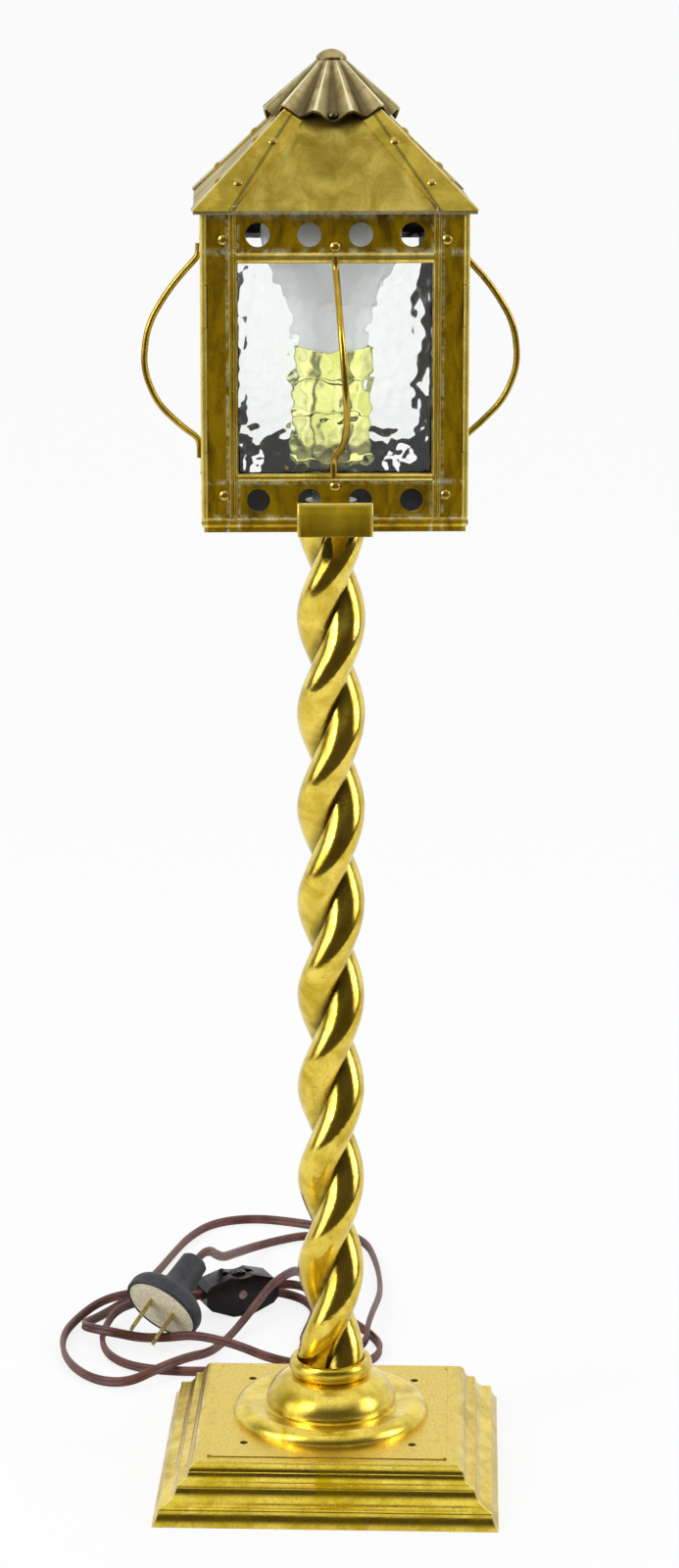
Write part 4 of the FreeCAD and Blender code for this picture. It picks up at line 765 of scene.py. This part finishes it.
def hammer(form, seed):
    """Press the domes into one face of a pane, and a faint ripple into the other."""
    low, high = pane_box
    ys = [v.co.y for v in form.verts]
    middle = (min(ys) + max(ys)) / 2
    for v in form.verts:
        spot = Vector((v.co.x / DOME, seed, v.co.z / DOME))
        spot += DRIFT * Vector([noise.noise(spot * 0.7 + shift) for shift in SHIFTS])
        gap = noise.voronoi(spot)[0][0]
        sag = abs(noise.noise(spot * 0.35) * SAG)
        rim_gap = min((high[0] - low[0]) / 2 - abs(v.co.x), v.co.z - low[2], high[2] - v.co.z)
        fade = min(1.0, max(0.0, rim_gap / RIM))
        if v.co.y > middle:
            v.co.y -= fade * (DOME_RISE * min(1.0, gap * gap * 2.2) + sag)
        else:
            v.co.y += fade * (OUTER_RIPPLE * gap + 0.3 * sag)


def hammered_pane(name, node, body, heading, seed):
    """A pane in the place of a CAD one, its inner face covered in shallow domes."""
    low, high = pane_box
    form = bmesh.new()
    stand = Matrix.Translation((0, low[1], (low[2] + high[2]) / 2)) @ Matrix.Rotation(math.pi / 2, 4, "X")
    size = Matrix.Diagonal((high[0] - low[0], high[2] - low[2], 1, 1))
    bmesh.ops.create_grid(form, x_segments=90, y_segments=96, size=0.5, matrix=stand @ size)
    bmesh.ops.solidify(form, geom=form.faces[:], thickness=high[1] - low[1])
    bmesh.ops.recalc_face_normals(form, faces=form.faces[:])
    hammer(form, seed)
    bmesh.ops.rotate(form, verts=form.verts[:], cent=(0, 0, 0),
                     matrix=Matrix.Rotation(heading + LANTERN_TURN, 3, "Z"))
    mesh = bpy.data.meshes.new(name)
    form.to_mesh(mesh)
    form.free()
    mesh.shade_smooth()
    pane = bpy.data.objects.new(name, mesh)
    bpy.context.scene.collection.objects.link(pane)
    mesh.materials.append(pane_glass)
    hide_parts(node)
    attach(pane, body)
    return pane


hammered_pane("front_pane", "front_glass", "lamp", 0.0, 1.5)
hammered_pane("right_pane", "right_door_glass", "right_door", math.pi / 2, 7.5)
hammered_pane("back_pane", "back_glass", "lamp", math.pi, 13.5)
pane = hammered_pane("left_pane", "left_door_glass", "left_door", -math.pi / 2, 19.5)
print("pane faces", len(pane.data.polygons))

# %% [markdown]
# ## Bulb and socket
# Through the glass shows a brass socket with two turned beads, and above it a frosted bulb. Frosted
# glass scatters what passes, so it looks like pale porcelain. It could be made as rough glass, which
# renders slowly and with much noise, and a pale coated surface looks nearly the same from outside.

# %% Bulb and socket finishes
frosted, tree, shader, place, axes = new_finish("frosted_glass")
tree.links.new(blend(tree, grain(tree, place, 12 * mm), (0.86, 0.87, 0.85), (0.95, 0.96, 0.95)),
               shader.inputs["Base Color"])
shader.inputs["Roughness"].default_value = 0.30
shader.inputs["Coat Weight"].default_value = 0.5
shader.inputs["Coat Roughness"].default_value = 0.15
paint(frosted, "bulb_glass")
socket_brass = aged("socket_brass", (1.0, 1.0, 0.42), (0.84, 0.86, 0.22), metal=1.0, rough=(0.18, 0.32))
paint(socket_brass, "socket_cap", "socket_shell")
print("finish", frosted.name, socket_brass.name)


# %% [markdown]
# ## Small and hidden pieces
# Steel, card, felt, porcelain and plastic each get their own grain too. Most hide in the base or the
# socket, but they show when the lamp is turned over or a door stands open. They could each have a
# network of their own, but a two-tone grain with its own colours, sheen and depth suits them all.

# %% Plain finishes
def plain(name, light, dark, rough, metal=0.0, size=4 * mm, depth=0.04 * mm, sheen=0.0):
    """A simple two-tone finish with its own grain."""
    material, tree, shader, place, axes = new_finish(name)
    mottle = soft_step(tree, grain(tree, place, size, 4.0, 0.6), 0.36, 0.66)
    tree.links.new(blend(tree, mottle, light, dark), shader.inputs["Base Color"])
    tree.links.new(soft_step(tree, mottle, 0, 1, *rough), shader.inputs["Roughness"])
    shader.inputs["Metallic"].default_value = metal
    shader.inputs["Sheen Weight"].default_value = sheen
    tree.links.new(dent(tree, grain(tree, place, size * 0.25, 3.0), depth), shader.inputs["Normal"])
    return material


print("plain finish ready")

# %% Switch, plug and cord fittings
switch_shell = plain("dark_bakelite", (0.008, 0.006, 0.005), (0.013, 0.009, 0.008), (0.22, 0.34),
                     size=6 * mm)
opened(switch_shell)[1].inputs["Specular IOR Level"].default_value = 0.28
rivet_metal = plain("rivet_metal", (0.42, 0.32, 0.30), (0.28, 0.22, 0.21), (0.4, 0.55), metal=0.8,
                    size=2 * mm)
plug_rubber = plain("dusty_rubber", (0.018, 0.019, 0.021), (0.052, 0.056, 0.060), (0.50, 0.66),
                    size=5 * mm)
plug_card = plain("speckled_fibre", (1.0, 0.94, 0.70), (0.66, 0.60, 0.38), (0.55, 0.7), size=1.5 * mm)
blade_brass = plain("blade_brass", (0.55, 0.42, 0.14), (0.36, 0.26, 0.08), (0.28, 0.42), metal=1.0,
                    size=3 * mm)
paint(switch_shell, "switch_wheel")
paint(rivet_metal, "switch_rivet")
paint(plug_rubber, "plug_body", "cord_bushing")
paint(plug_card, "plug_disc")
paint(blade_brass, "plug_blades")
print("finish", switch_shell.name, plug_rubber.name, plug_card.name)

# %% Pieces inside the base, the column and the socket
steel = plain("plated_steel", (0.58, 0.58, 0.56), (0.44, 0.44, 0.43), (0.30, 0.42), metal=1.0)
iron = plain("cast_iron", (0.045, 0.045, 0.048), (0.075, 0.072, 0.070), (0.6, 0.8), metal=0.6,
             depth=0.2 * mm)
card = plain("grey_card", (0.12, 0.095, 0.065), (0.18, 0.15, 0.11), (0.75, 0.9), size=2 * mm)
felt = plain("green_felt", (0.012, 0.040, 0.022), (0.022, 0.062, 0.036), (0.9, 1.0), size=1 * mm,
             depth=0.2 * mm, sheen=0.4)
porcelain = plain("porcelain", (0.74, 0.71, 0.66), (0.66, 0.63, 0.58), (0.12, 0.22), size=9 * mm)
shell_metal = plain("shell_metal", (0.70, 0.70, 0.71), (0.56, 0.56, 0.57), (0.22, 0.34), metal=1.0)
lead_skin = plain("lead_skin", (0.075, 0.045, 0.040), (0.110, 0.070, 0.062), (0.45, 0.6))
paint(steel, "lamp_pipe", "pipe_nuts", "pipe_washers")
paint(iron, "base_weight")
paint(card, "bottom_cover", "socket_liner")
paint(felt, "base_felt")
paint(porcelain, "socket_core")
paint(shell_metal, "screw_shell", "bulb_base")
paint(lead_skin, "lamp_leads")
print("finish", steel.name, iron.name, card.name, felt.name, porcelain.name)

# %% [markdown]
# ## Rounded arrises
# Moulded plastic and folded thick sheet never have knife edges: a small round on every arris catches
# a line of light. The round could be drawn in the construction, but it is too small to matter there.
# A CAD mesh is loose triangles, so a copy is merged and its flat faces joined, and then a Bevel
# modifier rounds each edge that is sharper than 30 degrees. The first use is the in-line switch,
# whose two halves meet in a fine groove.

# %% Round a copy of a CAD piece
MERGE = 0.004 * mm             # corners this close are one
FLAT = math.radians(0.5)       # faces that turn less than this are one
BEVELLED = math.radians(30)    # edges that turn more than this are rounded
CREASED = math.radians(40)     # edges that turn more than this are shaded sharp


def softened(name, node, material, body, width):
    """A merged copy of a CAD piece with rounded arrises, in its place."""
    form = bmesh.new()
    form.from_mesh(nodes[node].data)
    bmesh.ops.remove_doubles(form, verts=form.verts[:], dist=MERGE)
    bmesh.ops.dissolve_limit(form, angle_limit=FLAT, verts=form.verts[:], edges=form.edges[:])
    mesh = bpy.data.meshes.new(name)
    form.to_mesh(mesh)
    form.free()
    piece = bpy.data.objects.new(name, mesh)
    bpy.context.scene.collection.objects.link(piece)
    mesh.shade_smooth()
    mesh.set_sharp_from_angle(angle=CREASED)
    round_over = piece.modifiers.new("round_over", "BEVEL")
    round_over.width = width
    round_over.segments = 2
    round_over.limit_method = "ANGLE"
    round_over.angle_limit = BEVELLED
    round_over.use_clamp_overlap = True
    round_over.harden_normals = False
    mesh.materials.append(material)
    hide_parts(node)
    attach(piece, body)
    return piece


SWITCH_ROUND = 0.8 * mm
front_half = softened("switch_front_half", "switch_front", switch_shell, "lamp",
                      SWITCH_ROUND)
back_half = softened("switch_back_half", "switch_back", switch_shell, "lamp",
                     SWITCH_ROUND)
print("switch halves", len(front_half.data.polygons), len(back_half.data.polygons))

# %% [markdown]
# The two stretches of cord are laid: the tail from the base to the switch, and the lead from the
# switch to the plug.

print("cords declared", tail.name, lead.name)

# %% [markdown]
# The strap under the lantern was folded from thick sheet. Its ends turn up over the rim, in front and
# behind, and their soft arrises catch a bright line, so it gets the same rounding with a smaller width.

# %% Saddle strap
saddle = softened("saddle_strap", "saddle_bracket", clip_brass, "lamp", 0.5 * mm)
print("saddle faces", len(saddle.data.polygons))

# %% [markdown]
# ## The view transform
# The dressed lamp must stay the size of its frame. Colours are shown with the Standard view transform.

# %% Set the view transform
scene = bpy.context.scene
scene.view_settings.view_transform = "Standard"
